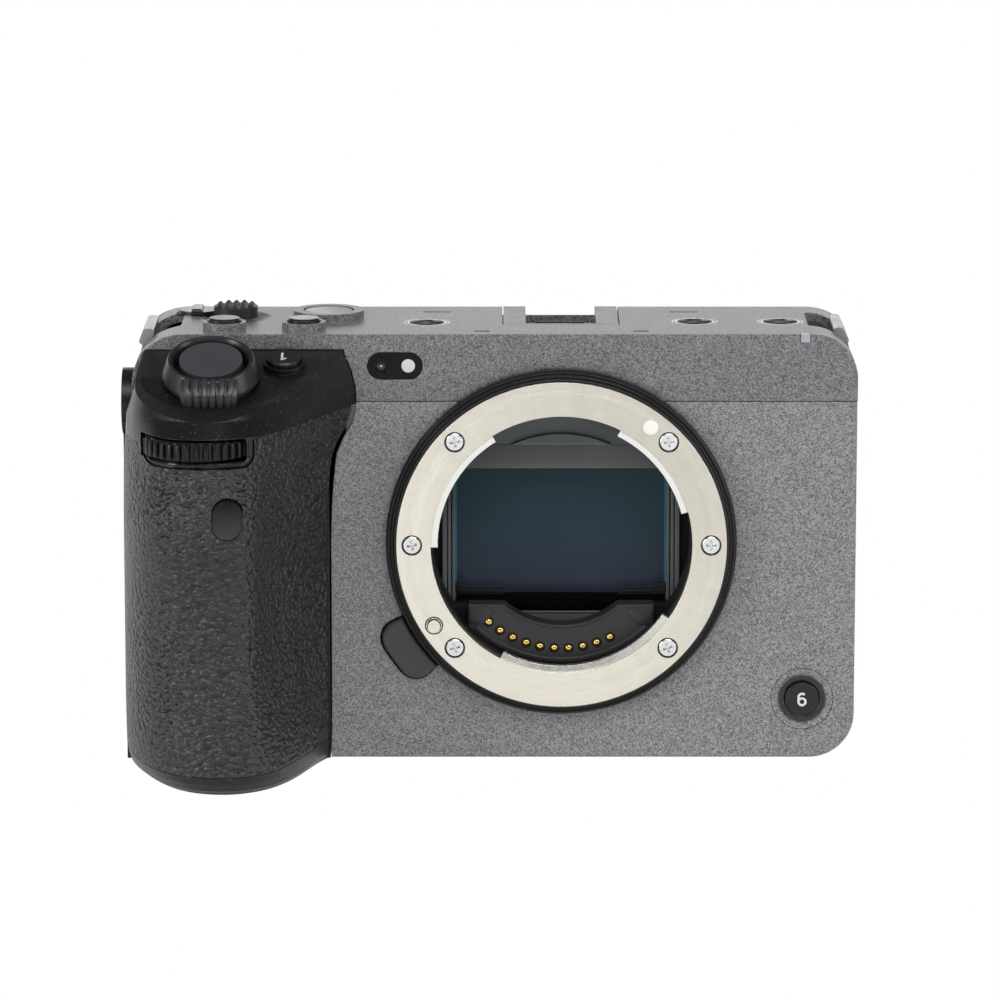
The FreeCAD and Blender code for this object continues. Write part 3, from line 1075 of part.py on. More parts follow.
def make_controls(nodes):
    """Every push button, dial, lever and stick."""
    nodes["iso_button"] = ISO_BUTTON.cap()
    nodes["wb_button"] = WB_BUTTON.cap()
    nodes["rec_button"] = REC_BUTTON.cap()
    nodes["front_rec_button"] = FRONT_REC_BUTTON.cap()
    nodes["iris_button"] = IRIS_BUTTON.cap()
    nodes["function_button"] = FUNCTION_BUTTON.cap()
    nodes["af_on_button"] = AF_ON_BUTTON.cap()
    nodes["playback_button"] = PLAYBACK_BUTTON.cap()
    nodes["delete_button"] = DELETE_BUTTON.cap()
    nodes["menu_button"] = MENU_BUTTON.cap()
    nodes["centre_button"] = CENTRE_BUTTON.cap()
    nodes["front_dial"] = FRONT_DIAL.wheel()
    nodes["rear_dial"] = REAR_DIAL.wheel()

    wx, wz = WHEEL_CENTRE
    seat_y = REAR_Y - WHEEL_SEAT + RUN_GAP
    wheel = tube((wx, seat_y, wz), (0, 1, 0), WHEEL_RADIUS, WHEEL_BORE, REAR_Y + WHEEL_PROUD - seat_y)
    grooves = []
    for index in range(WHEEL_RIBS):
        groove = box(WHEEL_RADIUS - 0.35, WHEEL_RADIUS + 1, REAR_Y + 0.2, REAR_Y + 3, -0.32, 0.32)
        groove.rotate(V(0, 0, 0), V(0, 1, 0), index * 360.0 / WHEEL_RIBS)
        groove.translate(V(wx, 0, wz))
        grooves.append(groove)
    nodes["control_wheel"] = wheel.cut(Part.makeCompound(grooves))

    sx, sy = STICK_CENTRE
    stem = rod((sx, sy, STICK_PIVOT_Z - 1.5), (0, 0, 1), 1.2, STICK_TOP_Z - STICK_PIVOT_Z + 0.7)
    cap_z = STICK_TOP_Z - STUD_HEIGHT - STICK_CAP_DEPTH
    cap = rod((sx, sy, cap_z), (0, 0, 1), STICK_CAP_RADIUS, STICK_CAP_DEPTH)
    studs = []
    for row in range(-2, 3):
        for column in range(-2, 3):
            if row * row + column * column <= 6:
                x, y = sx + column * STUD_PITCH, sy + row * STUD_PITCH
                studs.append(pyramid(x, y, STICK_TOP_Z - STUD_HEIGHT, STUD_BASE, STUD_TIP, STUD_HEIGHT))
    shaft = rod((sx, sy - 2.6, STICK_PIVOT_Z), (0, 1, 0), STICK_SHAFT, 5.2)
    nodes["joystick"] = fused(stem, cap, shaft, *studs)
    ring = tube((sx, sy, STICK_PIVOT_Z - 1.0), (0, 0, 1), 3.6, 2.1, 2.0)
    ring = ring.cut(rod((sx, sy - 5, STICK_PIVOT_Z), (0, 1, 0), STICK_SHAFT + PIVOT_GAP, 10))
    pins = [rod((sx + s * 3.4, sy, STICK_PIVOT_Z), (s, 0, 0), STICK_SHAFT, 1.7) for s in (-1, 1)]
    nodes["joystick_gimbal"] = fused(ring, *pins)

    px, py = POWER_CENTRE
    disc = rod((px, py, BODY_HEIGHT - 0.4), (0, 0, 1), POWER_RADIUS, 0.9)
    fin = box(px - 1.0, px + 1.0, py - POWER_RADIUS - 1.6, py + 1.0, BODY_HEIGHT + RUN_GAP - 0.1,
              BODY_HEIGHT + POWER_FIN_TOP)
    fin = fin.makeFillet(0.5, [e for e in fin.Edges if e.BoundBox.ZMin > BODY_HEIGHT + POWER_FIN_TOP - 0.1])
    stem = rod((px, py, BODY_HEIGHT - 4.6), (0, 0, 1), POWER_STEM, 4.6)
    foot = rod((px, py, BODY_HEIGHT - 4.6), (0, 0, 1), 2.6, 1.0)
    nodes["power_switch"] = fused(disc, fin, stem, foot)


def control_seats(cover):
    """Cuts the holes and seats of the rear controls."""
    wx, wz = WHEEL_CENTRE
    cover = cut(cover, rod((wx, REAR_Y - WHEEL_SEAT, wz), (0, 1, 0), WHEEL_RADIUS + RUN_GAP, 4))
    hub = rod((wx, REAR_Y - WALL, wz), (0, 1, 0), HUB_RADIUS, WALL + 0.6)
    cover = fused(cover, hub)
    for button in (CENTRE_BUTTON, FUNCTION_BUTTON, AF_ON_BUTTON, PLAYBACK_BUTTON, DELETE_BUTTON):
        cover = cut(cover, button.hole())
    return cover


def make_rear_cover(nodes):
    """The rear cover: control area with a thumb rest, and the wall behind the monitor."""
    left_box = front_slab(BODY_LEFT, CONTROL_EDGE_X, 0.0, SEAM_Z - SEAM_GAP, [2.0, 0.5, 0.5, 0.5],
                          GRIP_BACK_Y + SEAM_GAP, REAR_Y)
    rear_edges = [e for e in left_box.Edges
                  if e.BoundBox.YMin > REAR_Y - 1e-3 and e.BoundBox.ZMax < SEAM_Z - 1]
    left_box = left_box.makeFillet(1.2, rear_edges)
    rest_y = REAR_Y + THUMB_REST_PROUD
    rest = front_slab(BODY_LEFT + 1.6, BODY_LEFT + 18.1, SEAM_Z - 26.5, SEAM_Z - 4.0, [5.0] * 4,
                      REAR_Y - 0.2, rest_y)
    rest = rest.makeFillet(4.0, [e for e in rest.Edges if e.BoundBox.YMin > rest_y - 0.1])
    hollow = box(BODY_LEFT + WALL, CONTROL_EDGE_X - WALL, -5, REAR_Y - WALL, WALL, BODY_HEIGHT + 13.6)
    passage = box(CONTROL_EDGE_X - WALL - 1, BODY_RIGHT + 40, -5, SCREEN_WALL_Y - WALL, WALL, BODY_HEIGHT)
    wall_plate = body_profile(0.0, SCREEN_WALL_Y - WALL, SCREEN_WALL_Y)
    wall_plate = wall_plate.common(box(CONTROL_EDGE_X - 1, BODY_RIGHT + 40, 0, 90, -5, SEAM_Z - SEAM_GAP))
    cover = fused(cut(left_box, hollow, passage), wall_plate, rest)
    trough = rod((HINGE_X, HINGE_Y, -5), (0, 0, 1), TROUGH_RADIUS, 100)
    cover = cut(cover, trough)
    floor = rod((HINGE_X, HINGE_Y, 0.6), (0, 0, 1), TROUGH_RADIUS + WALL, SEAM_Z - SEAM_GAP - 1.2)
    floor_y = SCREEN_WALL_Y - 7.0
    floor = cut(floor, trough).common(box(HINGE_X - 17.6, BODY_RIGHT, floor_y, SCREEN_WALL_Y, 0, SEAM_Z))
    floor = floor.common(body_profile(0.0, 10, 30))
    cover = fused(cover, floor)
    knuckles = []
    for low, high in (KNUCKLE_LOW, KNUCKLE_HIGH):
        barrel = rod((HINGE_X, HINGE_Y, low), (0, 0, 1), HINGE_BARREL, high - low)
        web = box(HINGE_X - 1.6, HINGE_X + 1.6, HINGE_Y - TROUGH_RADIUS - 0.4, HINGE_Y, low, high)
        knuckles.append(fused(barrel, web).cut(rod((HINGE_X, HINGE_Y, low - 1), (0, 0, 1),
                                                   HINGE_PIN + PIVOT_GAP, high - low + 2)))
    cover = fused(cover, *knuckles)
    for z in (12.0, 17.0, 22.0, 27.0):
        cover = cut(cover, front_slab(-16.0, 26.0, z, z + 2.2, [1.05] * 4, floor_y, SCREEN_WALL_Y + 3.0))
    cover = control_seats(cover)
    y0, y1 = CARD_DOOR_Y
    z0, z1 = CARD_DOOR_Z
    cover = cut(cover, side_slab(y0, y1, z0, z1, 0.3, BODY_LEFT - 2, BODY_LEFT + WALL + 0.5))
    socket_pins = rod((BODY_LEFT + DOOR_THICK / 2, y0 + 1.05, z0 - 0.6), (0, 0, 1),
                      DOOR_PIN + PIVOT_GAP, z1 - z0 + 1.2)
    cover = cut(cover, socket_pins)
    boss_y = BATTERY_DOOR[3] - 1.0
    hinge_boss = box(DOOR_HINGE_X - 1.6, DOOR_HINGE_X + 1.6, boss_y, boss_y + 3.4, 0.5, 3.4)
    cover = fused(cover, hinge_boss)
    nodes["rear_cover"] = cut(cover, battery_door_room())


def hinged_plate(x_face, out, y0, y1, z0, z1, hinge_y):
    """A flush side door with its hinge bead, for a wall whose outer face is at x_face."""
    gap = RUN_GAP
    inner_x = x_face - out * DOOR_THICK
    mid_x = x_face - out * DOOR_THICK / 2
    far = y1 - gap
    plate = side_slab(hinge_y - 1.0, far, z0 + gap, z1 - gap, 0.7, min(x_face, inner_x), max(x_face, inner_x))
    plate = plate.common(box(-100, 100, hinge_y, 100, -10, 100))
    bead = rod((mid_x, hinge_y, z0 + gap), (0, 0, 1), DOOR_THICK / 2, z1 - z0 - 2 * gap)
    pins = rod((mid_x, hinge_y, z0 - 0.45), (0, 0, 1), DOOR_PIN, z1 - z0 + 0.9)
    return fused(plate, bead, pins)


def make_side_doors(nodes):
    """The terminal doors and the card door."""
    for name, (z0, z1) in DOOR_SPANS.items():
        nodes[name] = hinged_plate(BODY_RIGHT, 1, DOOR_FRONT_Y, DOOR_BACK_Y, z0, z1, DOOR_FRONT_Y + 1.05)
    y0, y1 = CARD_DOOR_Y
    nodes["card_door"] = hinged_plate(BODY_LEFT, -1, y0, y1, CARD_DOOR_Z[0], CARD_DOOR_Z[1], y0 + 1.05)


def shell_ring(y0, y1):
    """The body's front-view outline as a wall, from y0 to y1."""
    return cut(body_profile(0.0, y0, y1), body_profile(WALL, y0 - 1, y1 + 1))


def make_lower_covers(nodes):
    """The terminal panel with its vent, and the base plate."""
    y0 = FRONT_Y + FRONT_TRAY_DEPTH + SEAM_GAP
    y1 = SCREEN_WALL_Y - WALL - SEAM_GAP
    ring = shell_ring(y0, y1)
    panel = ring.common(box(TERMINAL_EDGE_X, BODY_RIGHT + 40, -90, 90, -5, SEAM_Z - SEAM_GAP))
    inside, outside = BODY_RIGHT - 3.1, BODY_RIGHT + 1.9
    for z0, z1 in DOOR_SPANS.values():
        panel = cut(panel, side_slab(DOOR_FRONT_Y, DOOR_BACK_Y, z0, z1, 0.3, inside, outside))
        mid = BODY_RIGHT - DOOR_THICK / 2
        panel = cut(panel, rod((mid, DOOR_FRONT_Y + 1.05, z0 - 0.6), (0, 0, 1),
                               DOOR_PIN + PIVOT_GAP, z1 - z0 + 1.2))
    for index in range(4):
        y = -9.9 + index * 2.4
        panel = cut(panel, side_slab(y, y + 1.3, 12.0, SIDE_SOCKET_Z - 7.4, 0.6, inside, outside))
    panel = cut(panel, rod((BODY_RIGHT - 12.1, SIDE_SOCKET_Y, SIDE_SOCKET_Z), (1, 0, 0),
                           INSERT_RADIUS + 0.02, 20))
    panel = cut(panel, rod((HINGE_X, HINGE_Y, -5), (0, 0, 1), TROUGH_RADIUS + WALL + SEAM_GAP, 100))
    nodes["terminal_panel"] = max(panel.Solids, key=lambda solid: solid.Volume)
    plate = ring.common(box(GRIP_EDGE_X + SEAM_GAP, TERMINAL_EDGE_X - SEAM_GAP, -90, 90, -5, 10))
    plate = fused(plate, box(GRIP_EDGE_X + SEAM_GAP, TERMINAL_EDGE_X - SEAM_GAP, y0, y1, 0.0, WALL))
    plate = cut(plate, box(-90, CONTROL_EDGE_X + SEAM_GAP, GRIP_BACK_Y, 90, -5, 20))
    plate = cut(plate, rod((0, 0, -5), (0, 0, 1), INSERT_RADIUS + 0.65, 20))
    plate = cut(plate, rod((0, 13.0, -5), (0, 0, 1), 1.6, 20))
    plate = cut(plate, rod((HINGE_X, HINGE_Y, -5), (0, 0, 1), TROUGH_RADIUS + WALL + SEAM_GAP, 100))
    nodes["bottom_plate"] = plate


def make_chassis(nodes):
    """The inner frame that carries the mount, the imaging unit and the covers."""
    y0 = FRONT_Y + WALL + 0.1
    left = GRIP_EDGE_X + 2.8
    top = SEAM_Z - 0.5
    corner = box(BODY_RIGHT - 8.1, BODY_RIGHT + 8, -40, 40, -5, 12.0)
    front = box(left, BODY_RIGHT - 2.3, y0, y0 + 2.2, 2.2, top)
    front = front.cut(rod((FRONT_REC_AT[0], -40, FRONT_REC_AT[2]), (0, 1, 0), 4.6, 60))
    front = front.cut(corner)
    seat = tube((0, FLANGE_Y + FLANGE_THICKNESS, AXIS_Z), (0, 1, 0), FLANGE_RADIUS - 0.3, THROAT_RADIUS + 0.5,
                y0 - (FLANGE_Y + FLANGE_THICKNESS) + 1.0)
    right = BODY_RIGHT - 3.1
    rails = [box(left, left + 2.8, y0, BACKPLATE_Y[1], 2.2, top),
             box(right - 2.6, right, y0, BACKPLATE_Y[1], 12.6, SIDE_SOCKET_Z - 4.4)]
    back = box(left, right, BACKPLATE_Y[0], BACKPLATE_Y[1], 2.2, top)
    back = back.cut(front_slab(-14.0, 14.0, AXIS_Z - 12.4, AXIS_Z + 10.6, [2.0] * 4, -5, 20))
    back = back.cut(corner)
    boss = box(-11.0, 11.0, y0, BACKPLATE_Y[1], WALL + 0.1, 8.6)
    shape = fused(front, seat, back, boss, *rails)
    bore = rod((0, -40, AXIS_Z), (0, 1, 0), THROAT_RADIUS + 0.5, 40 - 6.5 - 0.2)
    shape = cut(shape, bore, rod((0, 0, -5), (0, 0, 1), INSERT_RADIUS + 0.62, SOCKET_DEPTH + 6.0))
    shape = cut(shape, release_boundary(0.8), sector(24.6, 36.0, 206.3, 224.8, -15.0, -9.4))
    for angle in SCREW_ANGLES:
        shape = cut(shape, rod(on_axis(angle, SCREW_CIRCLE_RADIUS, FLANGE_Y), (0, 1, 0),
                               SCREW_SHANK_RADIUS + 0.03, 8))
    shape = cut(shape, rod(lock_pin_at(FLANGE_Y - 2), (0, 1, 0), LOCK_PIN_RADIUS + 0.3, 12))
    nodes["chassis_frame"] = max(shape.Solids, key=lambda solid: solid.Volume)


def make_imaging(nodes):
    """The sensor on its two-axis stage, and the two shutter blades."""
    x0, x1, z0, z1 = STAGE_PLATE
    stage = front_slab(x0, x1, z0, z1, [2.0] * 4, STAGE_Y[0], STAGE_Y[1])
    stage = cut(stage, front_slab(-15.0, 15.0, AXIS_Z - 9.4, AXIS_Z + 8.6, [1.0] * 4, 0, 6))
    nodes["sensor_stage"] = stage
    x0, x1, z0, z1 = SENSOR_PLATE
    nodes["sensor_package"] = front_slab(x0, x1, z0, z1, [1.5] * 4, PACKAGE_Y[0], PACKAGE_Y[1])
    x0, x1, z0, z1 = GLASS_PLATE
    nodes["sensor_glass"] = front_slab(x0, x1, z0, z1, [0.6] * 4, GLASS_Y[0], GLASS_Y[1])
    for name, y in (("shutter_blade_upper", UPPER_BLADE_Y), ("shutter_blade_lower", LOWER_BLADE_Y)):
        nodes[name] = box(-BLADE_HALF_WIDTH, BLADE_HALF_WIDTH, y, y + BLADE_THICK, BLADE_REST_Z,
                          BLADE_REST_Z + BLADE_HEIGHT)


FAN_CENTRE = (BODY_RIGHT - 27.6, AXIS_Z - 3.4)
SINK_LEFT = GRIP_EDGE_X + 6.8
FIN_PITCH = 4.0
BOARD_Y = 14.6
# Each connector block: depth before the board, low z, high z, its mouth in y and its rim in z
CONNECTORS = (
    (8.0, SEAM_Z - 34.9, SEAM_Z - 18.8, (1.2, 5.8), 1.0),
    (5.6, 12.7, 20.6, (1.4, 4.4), 0.5),
    (5.6, 21.4, SEAM_Z - 36.7, (1.4, 4.4), 0.5),
    (8.0, SEAM_Z - 16.9, SEAM_Z - 4.3, None, 0.0),
)
FAN_RADIUS = 13.0
SHROUD_RADIUS = FAN_RADIUS + 2.2
FIN_THICK = 1.2
FIN_ROOM = FAN_CENTRE[0] - SHROUD_RADIUS - SINK_LEFT - 2.0 - FIN_THICK
FIN_COUNT = int(FIN_ROOM / FIN_PITCH) + 1
FAN_BLADES = 9


def make_electronics(nodes):
    """Heat sink with the fan's shroud, rotor, main board, battery and card slots."""
    fx, fz = FAN_CENTRE
    plate_y0 = BACKPLATE_Y[1] + 0.1
    plate_y1 = plate_y0 + 1.6
    sink = box(SINK_LEFT, BODY_RIGHT - 11.3, plate_y0, plate_y1, 13.0, SEAM_Z - 2.5)
    fins = [box(x, x + FIN_THICK, plate_y1 - 0.1, 13.2, 16.0, SEAM_Z - 4.5)
            for x in (SINK_LEFT + 2.0 + FIN_PITCH * i for i in range(FIN_COUNT))]
    shroud = tube((fx, plate_y1 - 0.1, fz), (0, 1, 0), SHROUD_RADIUS, FAN_RADIUS + 0.8, 13.3 - plate_y1)
    posts = [rod((x, plate_y1 - 0.1, z), (0, 1, 0), 1.6, BOARD_Y - plate_y1 + 0.1)
             for x in (SINK_LEFT + 1.8, 14.5) for z in (14.8, SEAM_Z - 4.3)]
    axle = rod((fx, plate_y1 - 0.1, fz), (0, 1, 0), 1.2, 4.0)
    nodes["heat_sink"] = fused(sink, shroud, axle, *fins, *posts)
    rotor = tube((fx, plate_y1 + RUN_GAP, fz), (0, 1, 0), 4.4, 1.2 + PIVOT_GAP, 4.2)
    blades = []
    for index in range(FAN_BLADES):
        blade = box(4.0, FAN_RADIUS, plate_y1 + RUN_GAP, plate_y1 + RUN_GAP + 4.2, -0.5, 0.5)
        blade.rotate(V(4, 0, 0), V(0, 1, 0), -28)
        blade.rotate(V(0, 0, 0), V(0, 1, 0), index * 360.0 / FAN_BLADES)
        blade.translate(V(fx, 0, fz))
        blades.append(blade)
    rotor = fused(rotor, *blades)
    bore = rod((fx, 0, fz), (0, 1, 0), 1.2 + PIVOT_GAP, 30)
    nodes["fan_rotor"] = rotor.cut(bore)

    board = box(SINK_LEFT - 0.4, BODY_RIGHT - 4.1, BOARD_Y, BOARD_Y + 1.2, 12.6, SEAM_Z - 2.3)
    connectors = []
    ports = []
    port_x = BODY_RIGHT - 9.1
    for depth, z0, z1, mouth, rim in CONNECTORS:
        y0 = BOARD_Y - depth
        connectors.append(box(BODY_RIGHT - 10.1, BODY_RIGHT - 2.2, y0, BOARD_Y + 0.1, z0, z1))
        if mouth:
            ports.append(box(port_x, BODY_RIGHT + 7.9, y0 + mouth[0], y0 + mouth[1], z0 + rim, z1 - rim))
    ports += [rod((port_x, BOARD_Y - 4.2, z), (1, 0, 0), 1.8, 20) for z in (SEAM_Z - 13.7, SEAM_Z - 7.5)]
    nodes["main_board"] = cut(fused(board, *connectors), *ports)

    bx, by, bz = BATTERY_CORNER
    wx, wy, wz = BATTERY_SIZE
    battery = box(bx, bx + wx, by, by + wy, bz, bz + wz)
    nodes["battery"] = battery.makeFillet(1.5, [e for e in battery.Edges if e.BoundBox.ZLength > 40])
    low, high = CARD_DOOR_Z[0] + 6.0, CARD_DOOR_Z[1] - 6.0
    front = BATTERY_BACK_Y + CARD_UNIT_GAP
    slots = box(BODY_LEFT + 3.0, BODY_LEFT + 26.6, front, front + CARD_UNIT_DEPTH, low, high)
    for y in (front + 2.0, front + 7.6):
        slots = slots.cut(box(BODY_LEFT - 3.4, BODY_LEFT + 23.6, y, y + 2.6, low + 3.0, high - 3.0))
    nodes["card_slot_unit"] = slots


BATTERY_DOOR = (BATTERY_CORNER[0] - 0.6, BATTERY_CORNER[0] + BATTERY_WIDTH + 1.1, BATTERY_FRONT_Y - 0.9,
                BATTERY_BACK_Y + 0.8)
DOOR_HINGE_X = BATTERY_DOOR[1] + 0.45
DOOR_HINGE_Z = DOOR_LIFT + DOOR_PLATE / 2
BASE_PIN = 0.6
LATCH_Y = -7.0              # middle of the sliding latch


def battery_door_room():
    """The room in the base for the battery door and its hinge."""
    x0, x1, y0, y1 = BATTERY_DOOR
    corners = [(x0, y0, -1), (x1 + 1.5, y0, -1), (x1 + 1.5, y1, -1), (x0, y1, -1)]
    room = slab(corners, [1.4, 0.0, 0.0, 1.4], (0, 0, 1 + DOOR_LIFT + DOOR_PLATE + RUN_GAP))
    pin = rod((DOOR_HINGE_X, y0 - 1.2, DOOR_HINGE_Z), (0, 1, 0), BASE_PIN + PIVOT_GAP, y1 - y0 + 2.4)
    return room.fuse(pin)


def make_battery_door(nodes):
    """The battery door in the base, with its sliding latch."""
    x0, x1, y0, y1 = BATTERY_DOOR
    plate = plan_slab(x0 + RUN_GAP, x1 + 1.4, y0 + RUN_GAP, y1 - RUN_GAP, 1.3,
                      DOOR_LIFT, DOOR_LIFT + DOOR_PLATE)
    plate = plate.common(box(x0 - 5, DOOR_HINGE_X, -100, 100, -5, 10))
    bead = rod((DOOR_HINGE_X, y0 + RUN_GAP, DOOR_HINGE_Z), (0, 1, 0), DOOR_PLATE / 2, y1 - y0 - 2 * RUN_GAP)
    pins = rod((DOOR_HINGE_X, y0 - 1.0, DOOR_HINGE_Z), (0, 1, 0), BASE_PIN, y1 - y0 + 2.0)
    door = fused(plate, bead, pins)
    pocket = plan_slab(x0 + 1.4, x0 + 10.4, LATCH_Y - 4.0, LATCH_Y + 4.0, 1.0, DOOR_LIFT - 1, DOOR_LIFT + 1.2)
    nodes["battery_door"] = cut(door, pocket)
    nodes["battery_latch"] = plan_slab(x0 + 1.7, x0 + 7.8, LATCH_Y - 3.7, LATCH_Y + 3.7, 0.8, DOOR_LIFT + 0.1,
                                       DOOR_LIFT + 0.9)


def make_monitor(nodes):
    """The swing-out monitor: hinge arm, case and cover glass."""
    case = front_slab(MONITOR_LEFT, MONITOR_RIGHT, MONITOR_LOW, MONITOR_HIGH, [2.5] * 4,
                      MONITOR_FRONT_Y, MONITOR_BACK_Y)
    rear = [e for e in case.Edges if e.BoundBox.YMin > MONITOR_BACK_Y - 1e-3]
    case = case.makeFillet(0.8, rear)
    glass_box = front_slab(MONITOR_LEFT + 2.0, MONITOR_RIGHT - 2.0, MONITOR_LOW + 2.0, MONITOR_HIGH - 2.0,
                           [1.5] * 4, MONITOR_BACK_Y - MONITOR_GLASS, MONITOR_BACK_Y + 2)
    case = case.cut(glass_box)
    notch_low, notch_high = BARREL_SPAN
    shaft_z = (notch_low + notch_high) / 2
    case = case.cut(rod((MONITOR_RIGHT - 8, HINGE_Y, shaft_z), (1, 0, 0), 2.3, 20))
    nodes["monitor_case"] = case
    glass = front_slab(MONITOR_LEFT + 2.1, MONITOR_RIGHT - 2.1, MONITOR_LOW + 2.1, MONITOR_HIGH - 2.1,
                       [1.4] * 4, MONITOR_BACK_Y - MONITOR_GLASS, MONITOR_BACK_Y - 0.1)
    nodes["monitor_glass"] = glass
    barrel = rod((HINGE_X, HINGE_Y, notch_low), (0, 0, 1), HINGE_BARREL, notch_high - notch_low)
    pin = rod((HINGE_X, HINGE_Y, KNUCKLE_LOW[0] + 1), (0, 0, 1), HINGE_PIN,
              KNUCKLE_HIGH[1] - KNUCKLE_LOW[0] - 2)
    shaft = rod((MONITOR_RIGHT - 7.5, HINGE_Y, shaft_z), (1, 0, 0), 2.2, HINGE_X - MONITOR_RIGHT + 7.5)
    arm = box(MONITOR_RIGHT + 0.2, HINGE_X, HINGE_Y - 3.6, HINGE_Y + 3.6, notch_low + 4, notch_high - 4)
    nodes["monitor_hinge"] = fused(barrel, pin, shaft, arm)


def make_windows(nodes):
    """The focus lamp window, the remote window and the recording lamp."""
    window = lamp_window(0.0, FRONT_Y + 0.15, FRONT_Y + 0.9)
    nodes["front_windows"] = Part.makeCompound([window, remote_window()])
    nodes["record_lamp"] = box(*LAMP_X, FRONT_Y, FRONT_Y + 1.1, LAMP_LOW_Z, BODY_HEIGHT)


def main():
    """Builds every piece and writes one STEP file for each node."""
    nodes = {}
    make_front_cover(nodes)
    make_top_cover(nodes)
    make_rear_cover(nodes)
    make_lower_covers(nodes)
    make_chassis(nodes)
    make_grip(nodes)
    make_release(nodes)
    make_mount(nodes)
    make_lens_release(nodes)
    make_imaging(nodes)
    make_electronics(nodes)
    make_controls(nodes)
    make_shoe(nodes)
    make_inserts(nodes)
    make_strap_bars(nodes)
    make_side_doors(nodes)
    make_battery_door(nodes)
    make_monitor(nodes)
    make_windows(nodes)
    os.makedirs("parts", exist_ok=True)
    for name, shape in nodes.items():
        shape.exportStep(os.path.join("parts", name + ".step"))
        kinds = len(shape.Solids)
        print(f"{name:22s} solids {kinds:2d} volume {shape.Volume:9.1f} valid {shape.isValid()}")
    print(len(nodes), "nodes")


main()
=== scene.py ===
"""Looks of a compact cinema camera body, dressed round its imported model.

Lengths are millimetres of the camera's own frame (+Z up, -Y out of the mount towards the viewer,
origin at the tripod socket's mouth) until a mesh is finished, where they become metres.
"""

from __future__ import annotations

import logging
import math
from dataclasses import dataclass
from enum import Enum
from typing import Any, Mapping, Sequence

import bmesh
import bpy
from mathutils import Matrix, Vector

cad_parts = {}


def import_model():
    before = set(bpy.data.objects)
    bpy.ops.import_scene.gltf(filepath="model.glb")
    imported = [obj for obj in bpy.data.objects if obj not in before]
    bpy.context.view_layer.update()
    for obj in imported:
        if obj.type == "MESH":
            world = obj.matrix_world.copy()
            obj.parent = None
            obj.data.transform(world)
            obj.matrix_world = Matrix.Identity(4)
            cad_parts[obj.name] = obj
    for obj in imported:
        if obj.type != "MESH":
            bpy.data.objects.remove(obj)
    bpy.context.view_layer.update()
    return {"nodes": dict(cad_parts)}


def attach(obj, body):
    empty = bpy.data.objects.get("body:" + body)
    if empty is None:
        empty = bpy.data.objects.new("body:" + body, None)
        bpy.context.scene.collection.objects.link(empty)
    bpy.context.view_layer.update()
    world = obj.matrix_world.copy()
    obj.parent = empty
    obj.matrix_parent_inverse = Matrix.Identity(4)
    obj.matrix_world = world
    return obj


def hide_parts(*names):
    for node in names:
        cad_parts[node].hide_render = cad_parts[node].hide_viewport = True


LOG = logging.getLogger("camera_looks")
MILLIMETRE = 0.001
Colour = tuple[float, float, float]
Point2 = tuple[float, float]


# Shader expressions


class Field:
    """A shader value whose arithmetic adds Math nodes."""

    def __init__(self, graph: "Graph", socket: bpy.types.NodeSocket) -> None:
        """Keeps one output socket of a graph."""
        self.graph = graph
        self.socket = socket

    def _join(self, operation: str, first: Any, second: Any = None) -> "Field":
        """Adds one Math node and returns its result."""
        inputs = {0: first} if second is None else {0: first, 1: second}
        return self.graph.add("ShaderNodeMath", {"operation": operation}, inputs)

    def __add__(self, other: Any) -> "Field":
        """Sum."""
        return self._join("ADD", self, other)

    __radd__ = __add__

    def __mul__(self, other: Any) -> "Field":
        """Product."""
        return self._join("MULTIPLY", self, other)

    __rmul__ = __mul__

    def __sub__(self, other: Any) -> "Field":
        """Difference."""
        return self._join("SUBTRACT", self, other)

    def __rsub__(self, other: Any) -> "Field":
        """Difference from a plain number."""
        return self._join("SUBTRACT", other, self)

    def __truediv__(self, other: Any) -> "Field":
        """Ratio."""
        return self._join("DIVIDE", self, other)

    def __rtruediv__(self, other: Any) -> "Field":
        """Ratio of a plain number to it."""
        return self._join("DIVIDE", other, self)

    def __pow__(self, power: float) -> "Field":
        """Power."""
        return self._join("POWER", self, power)

    def __gt__(self, limit: float) -> "Field":
        """One where the value is over a limit."""
        return self._join("GREATER_THAN", self, limit)

    def spread(self, low: float, high: float, to_low: float = 0.0, to_high: float = 1.0) -> "Field":
        """The value stretched from one range to another and clamped."""
        inputs = {0: self, 1: low, 2: high, 3: to_low, 4: to_high}
        return self.graph.add("ShaderNodeMapRange", {"clamp": True}, inputs)


